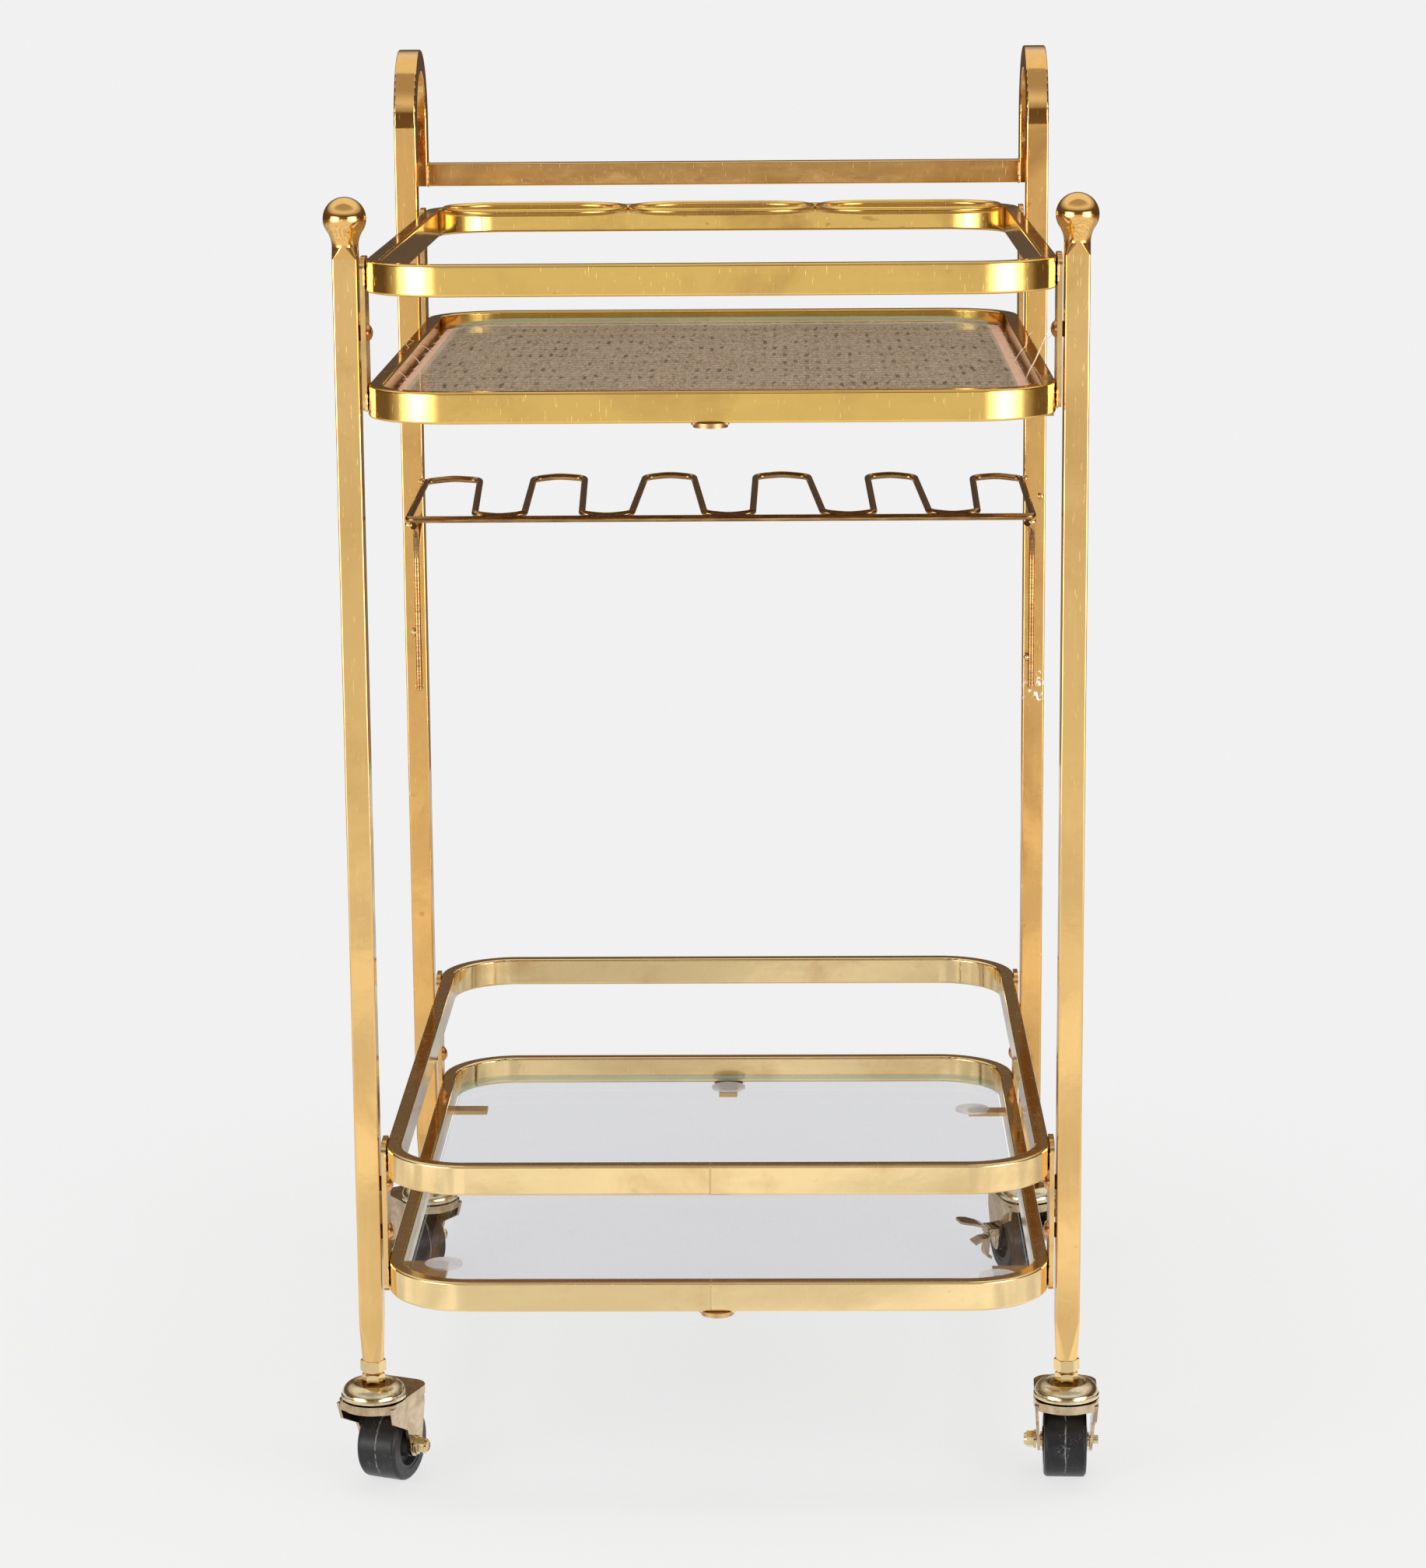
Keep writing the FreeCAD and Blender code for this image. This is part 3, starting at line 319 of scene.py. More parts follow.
def pane(name, tint, edge, gleam):
    """Float glass: clear faces that mirror at a slant, a sea-green ground edge, and a little dust."""
    t = Tree(name)
    clear = t.add("ShaderNodeBsdfTransparent")
    clear.inputs["Color"].default_value = (*tint, 1)
    shine = t.add("ShaderNodeBsdfGlossy")
    shine.inputs["Color"].default_value = (1, 1, 1, 1)
    shine.inputs["Roughness"].default_value = 0.0
    slant = t.add("ShaderNodeLayerWeight")
    slant.inputs["Blend"].default_value = 0.5
    mirror = t.math("MULTIPLY_ADD", t.math("POWER", slant.outputs["Facing"], 5.0), gleam, 0.02)
    lamp_ray = t.add("ShaderNodeLightPath").outputs["Is Shadow Ray"]
    face = t.mix_shaders(t.math("MULTIPLY", mirror, t.math("SUBTRACT", 1.0, lamp_ray)), clear, shine)
    specks = t.math("MULTIPLY", t.step(t.noise(850, 1), 0.70, 0.74), t.step(t.noise(40, 3), 0.45, 0.65))
    smear = t.math("MULTIPLY", t.step(t.noise(12, 5, 0.6, distortion=1.0), 0.5, 0.75), 0.012)
    dirt = t.add("ShaderNodeBsdfDiffuse")
    dirt.inputs["Color"].default_value = (0.72, 0.70, 0.66, 1)
    dusty = t.mix_shaders(t.math("MULTIPLY_ADD", specks, 0.35, smear), face, dirt)
    green = t.surface(Base_Color=t.blend(t.noise(60, 3), edge, tuple(c * 1.35 for c in edge)), Roughness=0.12)
    ground = t.mix_shaders(0.3, clear, green)
    upright = t.step(t.math("ABSOLUTE", t.facing("Z")), 0.3, 0.75, (1.0, 0.0))
    t.plug(t.mix_shaders(upright, dusty, ground).outputs[0], t.output.inputs["Surface"])
    return t.material


def soft_pad(name):
    """A clear silicone disc with a faintly milky, grained face."""
    t = Tree(name)
    milky = t.noise(180, 4, 0.6)
    colour = t.blend(milky, (0.84, 0.82, 0.81), (0.95, 0.94, 0.94))
    t.surface(Base_Color=colour, Roughness=t.math("MULTIPLY_ADD", milky, 0.2, 0.2), Alpha=0.7,
              Normal=t.bump(t.noise(700, 3), 0.06 * MM, 0.4))
    return t.material


def cane_cloth(name, centre, half):
    """Woven cane: rows of split strands with gaps in columns, stray pale fibres and a papery rim; painted
    shade darkens the dips and the gaps.

    centre and half are the panel's middle and half size along X and Y.
    """
    t = Tree(name)
    x, y = t.axis("X"), t.axis("Y")
    wander = t.math("MULTIPLY", t.math("SUBTRACT", t.noise(26, 3), 0.5), 5.0 * MM)
    slip = t.math("SUBTRACT", t.noise(1.0, 2, 0.5, t.stretched((150, 12, 1))), 0.5)
    slip = t.math("MULTIPLY", slip, 60 * MM)

    def wave(along, shift, period):
        return t.math("SINE", t.math("MULTIPLY", t.math("ADD", along, shift), 2 * math.pi / period))

    def edge_share(along, axis):
        """How far out a point is along one axis, from 0 in the middle to 1 at the rim."""
        return t.math("ABSOLUTE", t.math("DIVIDE", t.math("SUBTRACT", along, centre[axis]), half[axis]))

    weave = t.math("MULTIPLY", wave(y, wander, 5.0 * MM), wave(x, wander, 3.7 * MM))
    ridge = wave(y, wander, 15.0 * MM)
    column = t.step(wave(x, wander, 7.4 * MM), 0.1, 0.85)
    gap = t.math("MULTIPLY", column, t.step(wave(y, slip, 46.0 * MM), -0.2, 0.6))
    gap = t.math("MULTIPLY", gap, t.step(t.noise(1.0, 4, 0.65, t.stretched((60, 26, 60))), 0.42, 0.62))
    fibre = t.noise(1.0, 5, 0.75, t.stretched((620, 120, 400)))
    cloud = t.step(t.noise(14, 4, 0.6), 0.35, 0.7)
    pale = t.step(t.noise(1.0, 2, 0.6, t.stretched((330, 90, 300), (0, 0, 0.2))), 0.66, 0.74)
    pale = t.math("MULTIPLY", pale, t.step(t.noise(50, 2), 0.42, 0.62))
    # Painted shade: the colour darkens in the dips of the weave and the ridges and in the gaps, where the bump
    # makes hollows.
    weave_dip_shade = t.math("MULTIPLY", t.step(weave, -1.0, 0.1, (1.0, 0.0)), 0.45)
    ridge_dip_shade = t.math("MULTIPLY", t.step(ridge, -1.0, 0.2, (1.0, 0.0)), 0.35)
    colour = t.blend(t.step(fibre, 0.36, 0.62), (0.175, 0.118, 0.078), (0.40, 0.292, 0.205))
    colour = t.blend(t.math("MULTIPLY", cloud, 0.3), colour, (0.34, 0.255, 0.185))
    colour = t.blend(weave_dip_shade, colour, (0.115, 0.076, 0.052))
    colour = t.blend(ridge_dip_shade, colour, (0.105, 0.070, 0.050))
    colour = t.blend(t.math("MULTIPLY", gap, 0.85), colour, (0.050, 0.036, 0.030))
    colour = t.blend(t.math("MULTIPLY", pale, 0.7), colour, (0.60, 0.52, 0.42))
    border = t.math("MAXIMUM", edge_share(x, 0), edge_share(y, 1))
    rim = t.step(t.math("ADD", border, t.math("MULTIPLY", wander, 4.0)), 0.955, 0.975)
    paper = t.blend(t.noise(120, 4, 0.7), (0.34, 0.205, 0.14), (0.52, 0.345, 0.25))
    colour = t.blend(rim, colour, paper)
    height = t.math("ADD", t.math("MULTIPLY", weave, 0.3), t.math("MULTIPLY", ridge, 0.4))
    height = t.math("ADD", height, t.math("SUBTRACT", fibre, t.math("MULTIPLY", gap, 1.2)))
    normal = t.bump(height, 0.5 * MM, 0.9)
    t.surface(Base_Color=colour, Roughness=0.9, Normal=normal, Specular_IOR_Level=0.03)
    return t.material


def strands(name, low, high):
    """Loose plant fibre."""
    t = Tree(name)
    colour = t.blend(t.noise(150, 4), low, high)
    t.surface(Base_Color=colour, Roughness=0.7, Normal=t.bump(t.noise(1500, 2), 0.05 * MM, 0.5),
              Sheen_Weight=0.2)
    return t.material


# ---- materials on the CAD nodes ------------------------------------------------------------
GOLD = (0.92, 0.60, 0.23)
# The shaded gold below is a darker, more saturated copy of the brass for the upper rails and rings: painted
# shade. The lit gold after it is a lighter copy of the same brass for the lower rails: painted light.
SHADED_GOLD = (0.90, 0.60, 0.17)
LIT_GOLD = (0.95, 0.72, 0.36)
# The amber below is a darker, deeper copy of the legs' brass for the rear legs: painted shade.
SHADED_AMBER = (0.85, 0.50, 0.165)
TARNISH = (0.66, 0.38, 0.12)


def dress(names, material):
    """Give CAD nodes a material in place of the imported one."""
    for name in names:
        obj = nodes[name]
        obj.data.materials.clear()
        obj.data.materials.append(material)
        for face in obj.data.polygons:
            face.use_smooth = True


def named(*starts):
    return [n for n in nodes if n.startswith(starts)]


leg_gold = plated("leg_gold", GOLD, TARNISH, 0.08, grain=(6, 6, 0.6))
# The rear legs get the darker amber copy of the brass (painted shade); the flaked band of plating is real.
rear_gold = plated("rear_gold", SHADED_AMBER, TARNISH, 0.09, wear=1.3, grain=(6, 6, 0.6), chips=(0.452, 0.476))
handle_gold = plated("handle_gold", (0.95, 0.61, 0.23), (0.62, 0.35, 0.12), 0.12, wear=1.4,
                     grain=(0.6, 6, 6), ripple=1.4)
# The upper rails get the darker copy of the brass (painted shade), the lower rails the lighter copy (painted
# light).
upper_gold = plated("upper_rail_gold", SHADED_GOLD, TARNISH, 0.10, grain=(0.8, 0.8, 5))
lower_gold = plated("lower_rail_gold", LIT_GOLD, TARNISH, 0.09, grain=(0.8, 0.8, 5), seam=CENTRE_X - 4 * MM)
ball_gold = plated("ball_gold", (0.90, 0.54, 0.18), TARNISH, 0.03, wear=0.7, dust=0.4)
ring_gold = plated("ring_gold", SHADED_GOLD, (0.45, 0.25, 0.09), 0.16, wear=1.4)
plate_gold = plated("plate_gold", GOLD, (0.50, 0.30, 0.12), 0.2, wear=1.6, ripple=1.5)
tab_gold = plated("tab_gold", (0.70, 0.46, 0.22), (0.36, 0.22, 0.12), 0.28, wear=1.6)
weld_gold = plated("weld_gold", (0.86, 0.58, 0.26), (0.40, 0.22, 0.08), 0.2, wear=1.8, ripple=2.5)
copper = plated("screw_copper", (0.80, 0.40, 0.16), (0.42, 0.20, 0.09), 0.17, wear=1.2, dust=0.5)
rack_bronze = bronze_wire("rack_bronze")
fork_zinc = zinc("fork_zinc", (0.70, 0.56, 0.37), (0.50, 0.37, 0.22), 0.07, 0.7)
cap_zinc = zinc("cap_zinc", (0.90, 0.81, 0.58), (0.72, 0.58, 0.34), 0.06, 0.7)
nut_gold = plated("nut_gold", (0.88, 0.66, 0.33), (0.52, 0.34, 0.14), 0.09, wear=1.2)
axle_steel = zinc("axle_steel", (0.84, 0.70, 0.42), (0.60, 0.45, 0.22), 0.10, 0.6)
hub_black = moulded("hub_plastic", (0.03, 0.03, 0.032))
washer_dark = moulded("washer_dark", (0.025, 0.018, 0.012), 0.5)
glass_upper = pane("upper_glass_clear", (0.97, 0.985, 0.98), (0.30, 0.62, 0.55), 0.25)
glass_lower = pane("lower_glass_clear", (0.955, 0.962, 0.978), (0.34, 0.58, 0.52), 0.30)
pad_clear = soft_pad("pad_clear")
cane = cane_cloth("woven_cane", (CENTRE_X, TRAY_Y), PANEL_HALF)
fringe_fibre = strands("cane_fringe", (0.46, 0.28, 0.18), (0.78, 0.58, 0.42))
stray_fibre = strands("stray_fibre", (0.62, 0.50, 0.38), (0.86, 0.76, 0.62))

dress(named("front_leg"), leg_gold)
dress(named("rear_leg"), rear_gold)
dress(["handle_bar"], handle_gold)
dress(["top_rail", "upper_tray_rail"], upper_gold)
dress(["gallery_rail", "lower_tray_rail"], lower_gold)
dress(named("ball_finial"), ball_gold)
dress(named("bottle_ring"), ring_gold)
dress(["upper_plates", "lower_plates"], plate_gold)
dress(named("upper_tray_tabs", "lower_tray_tabs"), tab_gold)
dress(["rail_screws"], copper)
dress(named("rack_"), rack_bronze)
dress(named("fork_", "brake_pedal"), fork_zinc)
dress(["raceway_caps"], cap_zinc)
dress(["caster_stems", "jam_nuts"], nut_gold)
dress(named("axle_", "brake_pin"), axle_steel)
for corner in ("fl", "fr", "rl", "rr"):
    rubber = black_rubber("tyre_rubber_" + corner, middle("tyre_" + corner), long_way("axle_bolt_" + corner))
    dress(["tyre_" + corner], rubber)
dress(named("wheel_hub_"), hub_black)
dress(["leg_spacers"], washer_dark)
dress(["upper_glass"], glass_upper)
dress(["lower_glass"], glass_lower)
dress(["glass_pads"], pad_clear)


# ---- mesh helpers --------------------------------------------------------------------------
def new_piece(name, verts, faces, material, body="frame", smooth=True):
    """A mesh object in the row frame that rides on a body."""
    mesh = bpy.data.meshes.new(name)
    mesh.from_pydata([tuple(v) for v in verts], [], faces)
    mesh.validate()
    mesh.update()
    for face in mesh.polygons:
        face.use_smooth = smooth
    mesh.materials.append(material)
    obj = bpy.data.objects.new(name, mesh)
    bpy.context.scene.collection.objects.link(obj)
    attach(obj, body)
    return obj


class Soup:
    """Vertices and faces gathered from several lumps into one piece."""

    def __init__(self):
        self.verts = []
        self.faces = []

    def grid(self, rows, closed_across=True, closed_along=False, caps=True):
        """A skin over rows of points."""
        start = len(self.verts)
        wide = len(rows[0])
        for row in rows:
            self.verts += row
        tall = len(rows)
        for i in range(tall if closed_along else tall - 1):
            for j in range(wide if closed_across else wide - 1):
                a = start + i * wide + j
                b = start + i * wide + (j + 1) % wide
                c = start + ((i + 1) % tall) * wide + (j + 1) % wide
                d = start + ((i + 1) % tall) * wide + j
                self.faces.append((a, b, c, d))
        if caps and not closed_along:
            self.faces.append(tuple(start + j for j in range(wide))[::-1])
            self.faces.append(tuple(start + (tall - 1) * wide + j for j in range(wide)))

    def bead(self, centre, size, out=Vector((0, 0, 1)), seed=0.0, rings=7, around=12):
        """A lumpy drop of weld, flatter along out."""
        turn = out.normalized().to_track_quat("Z", "Y")
        rows = []
        for i in range(rings):
            polar = math.pi * (i + 0.35) / (rings - 0.3)
            row = []
            for j in range(around):
                angle = 2 * math.pi * j / around
                way = Vector((math.sin(polar) * math.cos(angle), math.sin(polar) * math.sin(angle),
                              math.cos(polar)))
                lump = 1 + 0.28 * noise.noise(way * 1.7 + Vector((seed, seed * 0.7, 3.1)))
                point = Vector((way.x * size.x, way.y * size.y, way.z * size.z)) * lump
                row.append(centre + turn @ point)
            rows.append(row)
        self.grid(rows)

    def tube(self, points, radius, around=6, taper=1.0):
        """A thin tube along points, thinning towards its end."""
        rows = []
        last = len(points) - 1
        for i, here in enumerate(points):
            ahead = (points[min(i + 1, last)] - points[max(i - 1, 0)]).normalized()
            turn = ahead.to_track_quat("Z", "Y")
            size = radius * (1 + (taper - 1) * i / last)
            rows.append([here + turn @ Vector((size * math.cos(2 * math.pi * j / around),
                                               size * math.sin(2 * math.pi * j / around), 0))
                         for j in range(around)])
        self.grid(rows)

    def weld_run(self, start, end, radius, seed=0.0, flat=0.7):
        """A rippled fillet of weld from start to end."""
        length = (end - start).length
        steps = max(4, int(length / (1.4 * MM)))
        turn = (end - start).to_track_quat("Z", "Y")
        rows = []
        for i in range(steps + 1):
            share = i / steps
            here = start.lerp(end, share)
            swell = math.sin(math.pi * min(1, max(0, 0.06 + 0.88 * share))) ** 0.35
            wave = 0.82 + 0.18 * math.sin(i * 2.1) + 0.25 * noise.noise(here * 400 + Vector((seed, 0, 0)))
            size = radius * swell * wave
            rows.append([here + turn @ Vector((size * math.cos(2 * math.pi * j / 10),
                                               flat * size * math.sin(2 * math.pi * j / 10), 0))
                         for j in range(10)])
        self.grid(rows)

    def piece(self, name, material, body="frame"):
        return new_piece(name, self.verts, self.faces, material, body)


# ---- welds ---------------------------------------------------------------------------------
def rack_welds():
    """Beads where the rack's wires meet the rear legs and each other."""
    soup = Soup()
    bar_low, bar_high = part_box("rack_front_bar")
    wave_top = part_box("rack_wave_wire")[1].z
    stay_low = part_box("rack_stay_left")[0]
    for side, leg in ((-1, "rear_left"), (1, "rear_right")):
        inner = LEG[leg].x - side * LEG_HALF
        face_y = LEG[leg].y - LEG_HALF
        corner = Vector((inner + side * 0.6 * MM, face_y - 0.6 * MM, wave_top - 5.5 * MM))
        soup.bead(corner, Vector((3.0, 2.2, 3.6)) * MM, Vector((0, -1, 0)), 1.3 + side)
        front = bar_high.x if side > 0 else bar_low.x
        under = Vector((front - side * 3.2 * MM, bar_low.y + 3.6 * MM, bar_low.z - 1.2 * MM))
        soup.bead(under, Vector((3.2, 2.6, 3.2)) * MM, Vector((0, -1, 0)), 4.7 + side)
        stay_x = LEG[leg].x - side * 2.0 * MM
        height = stay_low.z + (43 if side < 0 else 22) * MM
        beside = Vector((stay_x - side * (-3.0 if side < 0 else 3.2) * MM, face_y - 1.6 * MM, height))
        soup.bead(beside, Vector((2.4, 3.2, 2.4)) * MM, Vector((0, -1, 0)), 8.2 + side)
        soup.bead(Vector((stay_x, face_y - 1.6 * MM, stay_low.z + 1.5 * MM)), Vector((3.0, 3.0, 2.8)) * MM,
                  Vector((0, -1, 0)), 5.9 + side)
    lone = Vector((LEG["rear_right"].x + 4.5 * MM, LEG["rear_right"].y - LEG_HALF, wave_top - 19 * MM))
    soup.bead(lone, Vector((2.6, 2.6, 2.0)) * MM, Vector((0, -1, 0)), 2.2)
    soup.piece("rack_weld_beads", weld_gold)


def plate_welds():
    """Fillets down both edges of each connector plate, against the rails."""
    soup = Soup()
    for rail_name in ("top_rail", "upper_tray_rail", "gallery_rail", "lower_tray_rail"):
        low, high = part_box(rail_name)
        for side in (-1, 1):
            x = (high.x if side > 0 else low.x) + side * 0.4 * MM
            for leg in ("front", "rear"):
                leg_y = LEG[leg + "_left"].y
                for edge in (-1, 1):
                    y = leg_y + edge * PLATE_EDGE
                    soup.weld_run(Vector((x, y, low.z + 3 * MM)), Vector((x, y, high.z - 4 * MM)),
                                  0.9 * MM, leg_y * 31 + edge + low.z * 17)
    soup.piece("plate_weld_fillets", weld_gold)


def ring_welds():
    """Small welds along the rings: to the rear rail and to each other."""
    soup = Soup()
    boxes = [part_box("bottle_ring_" + name) for name in ("left", "centre", "right")]
    for k, (low, high) in enumerate(boxes):
        mid = (low + high) / 2
        for shift in (-14 * MM, 15 * MM):
            start = Vector((mid.x + shift - 5 * MM, high.y - 0.8 * MM, mid.z - 1.2 * MM))
            soup.weld_run(start, start + Vector((10 * MM, 0, 0)), 1.8 * MM, 3.0 + k + shift * 90)
        if k:
            soup.bead(Vector((low.x, mid.y + 2 * MM, mid.z + 0.2 * MM)), Vector((2.2, 4.0, 2.2)) * MM,
                      Vector((0, 0, 1)), 6.1 + k)
    soup.piece("ring_welds", weld_gold)


def handle_welds():
    """Ground-down welds where the handle bar meets the hoops."""
    soup = Soup()
    low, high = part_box("handle_bar")
    y = low.y + 0.2 * MM
    for side in (-1, 1):
        x = (high.x if side > 0 else low.x) - side * 0.2 * MM
        for z in (low.z + 0.3 * MM, high.z - 0.3 * MM):
            soup.weld_run(Vector((x, low.y + 1 * MM, z)), Vector((x, high.y - 1 * MM, z)),
                          1.3 * MM, side * 3 + z * 40, 0.9)
        soup.weld_run(Vector((x, y, low.z + 1 * MM)), Vector((x, y, high.z - 1 * MM)), 1.2 * MM, side * 5, 0.9)
    soup.piece("handle_welds", weld_gold)


def tab_welds():
    """Tacks that hold the flat tabs under the rails."""
    soup = Soup()
    for tray, rail_name in (("upper_tray_tabs", "upper_tray_rail"), ("lower_tray_tabs", "lower_tray_rail")):
        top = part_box(tray)[1].z
        rail_low, rail_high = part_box(rail_name)
        for row, y in ((-1, rail_low.y + 5 * MM), (1, rail_high.y - 5 * MM)):
            for side in (-1, 1):
                spot = Vector((CENTRE_X + side * 9.5 * MM, y, top - 0.4 * MM))
                soup.bead(spot, Vector((2.6, 3.4, 1.5)) * MM, Vector((0, 0, 1)), row + side * 2.3)
    soup.piece("tab_tack_welds", weld_gold)


rack_welds()
plate_welds()
ring_welds()
handle_welds()
tab_welds()


# ---- woven panel ---------------------------------------------------------------------------
def rounded_ring(half_x, half_y, corner, count):
    """Evenly spread points round a rounded rectangle, with their outward normals."""
    straight = [2 * (half_y - corner), 2 * (half_x - corner)]
    arc = math.pi / 2 * corner
    total = 2 * sum(straight) + 4 * arc
    out = []
    for k in range(count):
        s = total * k / count
        for quarter in range(4):
            run = straight[quarter % 2]
            angle = quarter * math.pi / 2
            ahead = Vector((-math.sin(angle), math.cos(angle)))
            side = Vector((math.cos(angle), math.sin(angle)))
            half_side = half_x if quarter % 2 == 0 else half_y
            if s <= run:
                point = side * half_side + ahead * (s - run / 2)
                out.append((point, side))
                break
            s -= run
            if s <= arc:
                turned = s / corner
                centre = side * (half_side - corner) + ahead * (run / 2)
                way = Vector((math.cos(angle + turned), math.sin(angle + turned)))
                out.append((centre + way * corner, way))
                break
            s -= arc
    return out


def woven_panel():
    """The board under the glass: woven top that lifts a little, with a ragged, rolled-over rim."""
    low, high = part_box("woven_panel")
    centre = (low + high) / 2
    half_x, half_y = (high.x - low.x) / 2, (high.y - low.y) / 2
    count = 520
    skin = 10.5
    ring = rounded_ring(half_x, half_y, PANEL_CORNER, count)
    rows = []
    # millimetres in from the rim and up from the underside
    profile = [(12.0, 0.0), (3.0, 0.0), (0.7, 1.2), (0.4, 5.0),
               (0.6, 8.6), (1.9, 10.4), (4.0, 10.6), (7.0, skin)]
    for inset, rise in profile:
        row = []
        for point, out in ring:
            ragged = noise.noise(Vector((point.x * 55, point.y * 55, 1.0)))
            ragged += 0.6 * noise.noise(Vector((point.x * 210, point.y * 210, 2.0)))
            deep = inset + max(0.0, ragged * (1.5 if rise > 4 else 0.3))
            lift = rise
            if 1 < rise < 10.4:
                lift += 0.35 * noise.noise(Vector((point.x * 120, point.y * 120, rise)))
            flat = point - out * deep * MM
            row.append(Vector((centre.x + flat.x, centre.y + flat.y, low.z + lift * MM)))
        rows.append(row)
    soup = Soup()
    soup.grid(rows, caps=False)
    inner = rows[-1]
    previous = len(soup.verts) - count
    for share in (0.93, 0.8, 0.6, 0.4, 0.2):
        start = len(soup.verts)
        for v in inner:
            x = centre.x + (v.x - centre.x) * share
            y = centre.y + (v.y - centre.y) * share
            z = low.z + (skin + 0.25 * noise.noise(Vector((x * 28, y * 28, 0)))) * MM
            soup.verts.append(Vector((x, y, z)))
        for j in range(count):
            k = (j + 1) % count
            soup.faces.append((previous + j, previous + k, start + k, start + j))
        previous = start
    hub = len(soup.verts)
    soup.verts.append(Vector((centre.x, centre.y, low.z + skin * MM)))
    for j in range(count):
        soup.faces.append((previous + j, previous + (j + 1) % count, hub))
    under = len(soup.verts)
    soup.verts.append(Vector((centre.x, centre.y, low.z)))
    for j in range(count):
        soup.faces.append(((j + 1) % count, j, under))
    panel = soup.piece("woven_cane_panel", cane)
    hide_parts("woven_panel")


def cane_fringe():
    """Short torn fibres standing out of the panel's rim, and a few long stray ones."""
    low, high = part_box("woven_panel")
    centre = (low + high) / 2
    half_x, half_y = (high.x - low.x) / 2, (high.y - low.y) / 2
    ring = rounded_ring(half_x - 3.2 * MM, half_y - 3.2 * MM, 40 * MM, 900)
    soup = Soup()
    for point, out in ring:
        if random.random() < 0.35:
            continue
        length = random.uniform(1.5, 5.0) * MM
        start = Vector((centre.x + point.x, centre.y + point.y, low.z + random.uniform(9.3, 10.6) * MM))
        side = Vector((-out.y, out.x, 0)) * random.uniform(-1.0, 1.0)
        way = (Vector((out.x, out.y, 0)) * random.uniform(-0.5, 0.75) + side).normalized()
        points = []
        for s in (0, 0.35, 0.7, 1.0):
            rise = 0.9 * MM * math.sin(2.6 * s) * random.uniform(0.3, 1.0)
            points.append(start + way * length * s + Vector((0, 0, rise)))
        soup.tube(points, random.uniform(0.10, 0.26) * MM, 4, 0.3)
    soup.piece("cane_fringe", fringe_fibre)
    stray = Soup()
    starts = [(half_x - 4 * MM, -0.150, 0.030, 0.060, 0.048), (half_x - 3 * MM, -0.138, 0.022, -0.020, 0.040),
              (half_x - 5 * MM, -0.035, 0.014, 0.020, 0.020), (-half_x + 4 * MM, -0.02, -0.012, 0.03, 0.012),
              (-half_x + 5 * MM, 0.06, -0.015, -0.02, 0.012), (-half_x + 4 * MM, -0.12, -0.010, 0.016, 0.010)]
    for k, (x, y, dx, dy, dz) in enumerate(starts):
        begin = Vector((centre.x + x, centre.y + y, low.z + 10 * MM))
        points = []
        for i in range(12):
            s = i / 11
            sway = [noise.noise(Vector((s * 3, k, slice_z))) for slice_z in (0, 5)]
            curl = Vector((*sway, 0)) * 5 * MM * s
            points.append(begin + Vector((dx * s, dy * s * s, dz * (s ** 0.8))) + curl)
        stray.tube(points, 0.28 * MM, 5, 0.4)
    stray.piece("stray_fibres", stray_fibre)


woven_panel()
cane_fringe()


# ---- stage, light and camera ---------------------------------------------------------------
def floor():
    """A pale round floor that fades into the background at its rim."""
    mesh = bpy.data.meshes.new("floor")
    count = 96
    radii = [0.0, 0.5, 1.0, 1.6, 2.2]
    verts = [(0, 0, 0)]
    faces = []
    for r in radii[1:]:
        for k in range(count):
            angle = 2 * math.pi * k / count
            verts.append((r * math.cos(angle), r * math.sin(angle), -0.0002))
    for k in range(count):
        faces.append((0, 1 + k, 1 + (k + 1) % count))
    for ring in range(len(radii) - 2):
        for k in range(count):
            a = 1 + ring * count + k
            b = 1 + ring * count + (k + 1) % count
            faces.append((a, a + count, b + count, b))
    mesh.from_pydata(verts, [], faces)
    obj = bpy.data.objects.new("floor", mesh)
    bpy.context.scene.collection.objects.link(obj)
    t = Tree("floor_pale")
    path = t.add("ShaderNodeLightPath").outputs
    diffuse = t.add("ShaderNodeBsdfDiffuse")
    diffuse.inputs["Color"].default_value = (0.66, 0.66, 0.66, 1)
    glow = t.add("ShaderNodeEmission")
    glow.inputs["Color"].default_value = (BACKDROP, BACKDROP, BACKDROP, 1)
    away = t.add("ShaderNodeVectorMath", operation="LENGTH")
    t.plug(t.coords, away.inputs[0])
    fade = t.step(away.outputs["Value"], 0.35, 1.1, (0.82, 1.0))
    seen = t.math("MULTIPLY", fade, path["Is Camera Ray"])
    mix = t.add("ShaderNodeMixShader")
    t.plug(seen, mix.inputs[0])
    t.plug(diffuse.outputs[0], mix.inputs[1])
    t.plug(glow.outputs[0], mix.inputs[2])
    # For reflections only, the floor glows, brighter at the front and in patches: painted light that stands in
    # for a lit floor.
    sheen = t.add("ShaderNodeEmission")
    sheen.inputs["Color"].default_value = (1.0, 0.99, 1.0, 1)
    patches = t.step(t.noise(3.2, 2, 0.4), 0.40, 0.60, (0.74, 1.08))
    depth = t.step(t.axis("Y"), -0.3, 0.45, (0.98, 0.60))
    t.plug(t.math("MULTIPLY", depth, patches), sheen.inputs["Strength"])
    mirrored = t.add("ShaderNodeMixShader")
    t.plug(t.math("MULTIPLY", path["Is Glossy Ray"], 0.92), mirrored.inputs[0])
    t.plug(mix.outputs[0], mirrored.inputs[1])
    t.plug(sheen.outputs[0], mirrored.inputs[2])
    t.plug(mirrored.outputs[0], t.output.inputs["Surface"])
    mesh.materials.append(t.material)


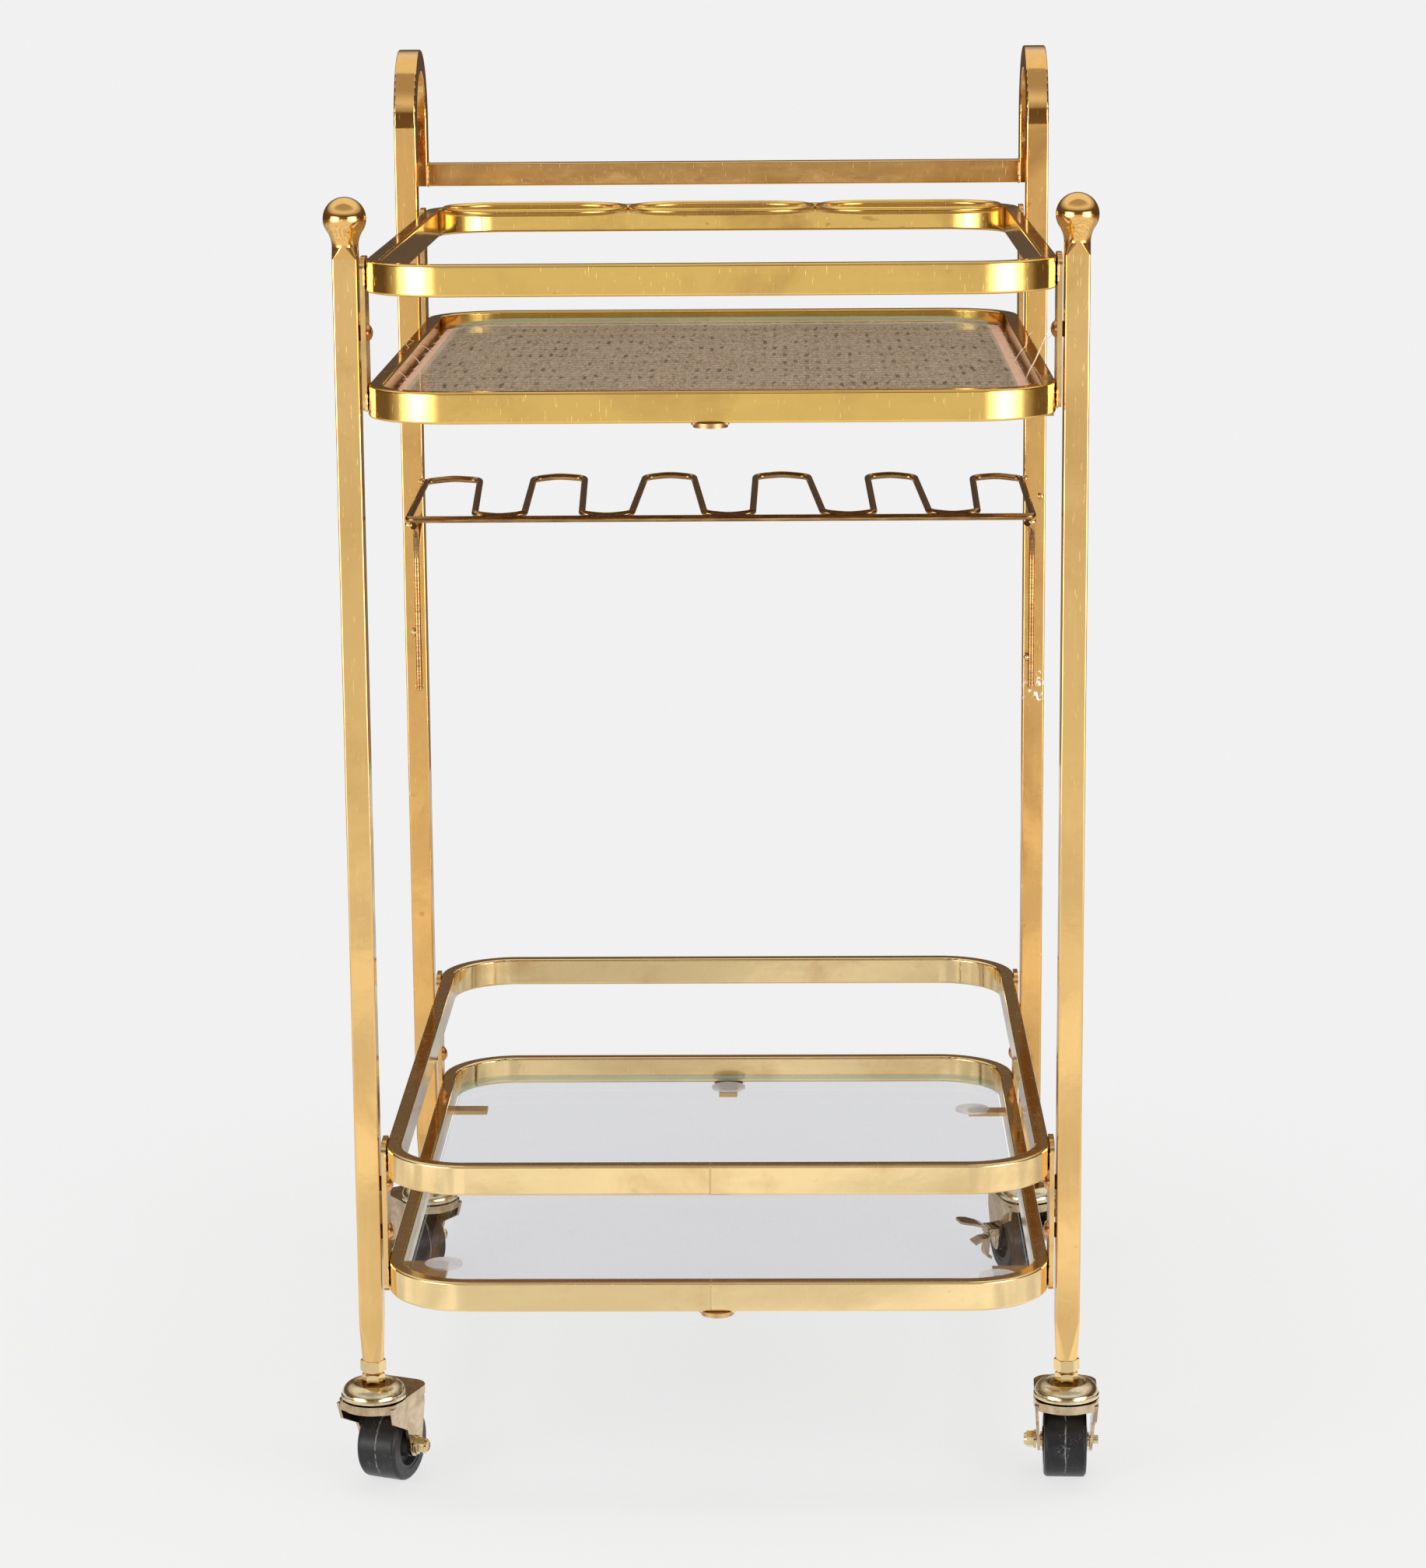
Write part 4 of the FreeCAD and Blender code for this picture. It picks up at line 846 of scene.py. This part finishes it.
def world():
    """A pale background for the camera, and for reflections a studio with dark walls and two soft lamps."""
    bpy.context.scene.world = bpy.data.worlds.new("studio")
    studio = bpy.context.scene.world
    studio.use_nodes = True
    tree = studio.node_tree
    tree.nodes.clear()

    def add(kind, **settings):
        node = tree.nodes.new(kind)
        for key, value in settings.items():
            setattr(node, key, value)
        return node

    def maths(operation, a, b=0.0):
        node = add("ShaderNodeMath", operation=operation)
        for value, socket in ((a, node.inputs[0]), (b, node.inputs[1])):
            if isinstance(value, bpy.types.NodeSocket):
                tree.links.new(value, socket)
            else:
                socket.default_value = value
        return node.outputs[0]

    def step(value, low, high, to=(0.0, 1.0)):
        node = add("ShaderNodeMapRange", interpolation_type="SMOOTHSTEP")
        tree.links.new(value, node.inputs["Value"])
        for name, number in zip(("From Min", "From Max", "To Min", "To Max"), (low, high, to[0], to[1])):
            node.inputs[name].default_value = number
        return node.outputs["Result"]

    def ramp(value, low, high, stops):
        """A level read from stops of (value, level)."""
        node = add("ShaderNodeValToRGB")
        bar = node.color_ramp
        bar.interpolation = "EASE"
        places = [((at - low) / (high - low), level) for at, level in stops]
        while len(bar.elements) < len(places):
            bar.elements.new(0.5)
        for element, (place, level) in zip(bar.elements, places):
            element.position = place
            element.color = (level, level, level, 1)
        tree.links.new(maths("DIVIDE", maths("SUBTRACT", value, low), high - low), node.inputs["Fac"])
        return node.outputs["Color"]

    way = add("ShaderNodeSeparateXYZ")
    tree.links.new(add("ShaderNodeTexCoord").outputs["Generated"], way.inputs[0])
    x, y, z = way.outputs
    round_about = maths("ABSOLUTE", maths("ARCTAN2", x, maths("MULTIPLY", y, -1.0)))
    front = ramp(z, -0.5, 0.9, ((-0.5, 0.95), (-0.28, 0.95), (-0.16, 0.74), (-0.03, 0.78), (0.012, 0.14),
                                (0.10, 0.14), (0.33, 0.12), (0.42, 0.48), (0.58, 0.85), (0.85, 0.45)))
    rear = ramp(z, -0.5, 0.9, ((-0.5, 0.85), (-0.28, 0.55), (-0.18, 0.20), (-0.05, 0.08), (0.10, 0.08),
                               (0.32, 0.12), (0.50, 0.55), (0.7, 0.95)))
    share = step(round_about, 1.15, 1.75)
    near = maths("MULTIPLY", front, maths("SUBTRACT", 1.0, share))
    level = maths("ADD", maths("MULTIPLY", rear, share), near)
    lamp = maths("MULTIPLY", step(round_about, 0.28, 0.86), step(round_about, 0.78, 1.40, (1.0, 0.0)))
    lamp = maths("MULTIPLY", lamp, maths("MULTIPLY", step(z, -0.27, -0.06), step(z, 0.13, 0.25, (1.0, 0.0))))
    level = maths("ADD", level, maths("MULTIPLY", lamp, LAMP_STRENGTH))
    room = add("ShaderNodeBackground")
    warmth = add("ShaderNodeMix", data_type="RGBA")
    tree.links.new(step(level, 0.1, 0.6), warmth.inputs["Factor"])
    warmth.inputs[6].default_value = (1.25, 0.86, 0.58, 1)
    warmth.inputs[7].default_value = (1.0, 0.985, 0.955, 1)
    tree.links.new(warmth.outputs[2], room.inputs["Color"])
    tree.links.new(level, room.inputs["Strength"])
    paper = add("ShaderNodeBackground")
    paper.inputs["Color"].default_value = (BACKDROP, BACKDROP, BACKDROP, 1)
    path = add("ShaderNodeLightPath").outputs
    mix = add("ShaderNodeMixShader")
    tree.links.new(path["Is Camera Ray"], mix.inputs[0])
    tree.links.new(room.outputs[0], mix.inputs[1])
    tree.links.new(paper.outputs[0], mix.inputs[2])
    tree.links.new(mix.outputs[0], add("ShaderNodeOutputWorld").inputs["Surface"])


def softbox(name, place, aim, size, power):
    """A rectangular area light at place, turned to aim."""
    data = bpy.data.lights.new(name, "AREA")
    data.shape = "RECTANGLE"
    data.size, data.size_y = size
    data.energy = power
    data.spread = math.pi
    lamp = bpy.data.objects.new(name, data)
    lamp.location = place
    lamp.rotation_mode = "QUATERNION"
    lamp.rotation_quaternion = (Vector(aim) - Vector(place)).to_track_quat("-Z", "Y")
    lamp.visible_glossy = False
    bpy.context.scene.collection.objects.link(lamp)


def camera():
    """The viewpoint: a little right of the middle, just above the handle, with a long lens."""
    pitch, yaw, roll = math.radians(11.66), math.radians(-1.08), math.radians(-0.45)
    data = bpy.data.cameras.new("camera")
    data.sensor_width = 36.0
    data.lens = 96.6
    data.clip_start, data.clip_end = 0.05, 200
    cam = bpy.data.objects.new("camera", data)
    eye = Vector((CENTRE_X + 0.0491, TRAY_Y - 2.8902, 1.0325))
    turn = Matrix.Rotation(-yaw, 4, "Z") @ Matrix.Rotation(math.pi / 2 - pitch, 4, "X")
    cam.matrix_world = Matrix.Translation(eye) @ (turn @ Matrix.Rotation(roll, 4, "Z"))
    bpy.context.scene.collection.objects.link(cam)
    bpy.context.scene.camera = cam


floor()
world()
softbox("softbox_left", (-1.45, -1.45, 0.95), (0, 0, 0.55), (1.0, 1.5), 12)
softbox("softbox_right", (1.45, -1.45, 0.95), (0, 0, 0.55), (1.0, 1.5), 12)
softbox("softbox_top", (0.0, -0.4, 2.6), (0, 0, 0.4), (1.6, 1.2), 48)
camera()
bpy.context.scene.view_settings.view_transform = "Standard"
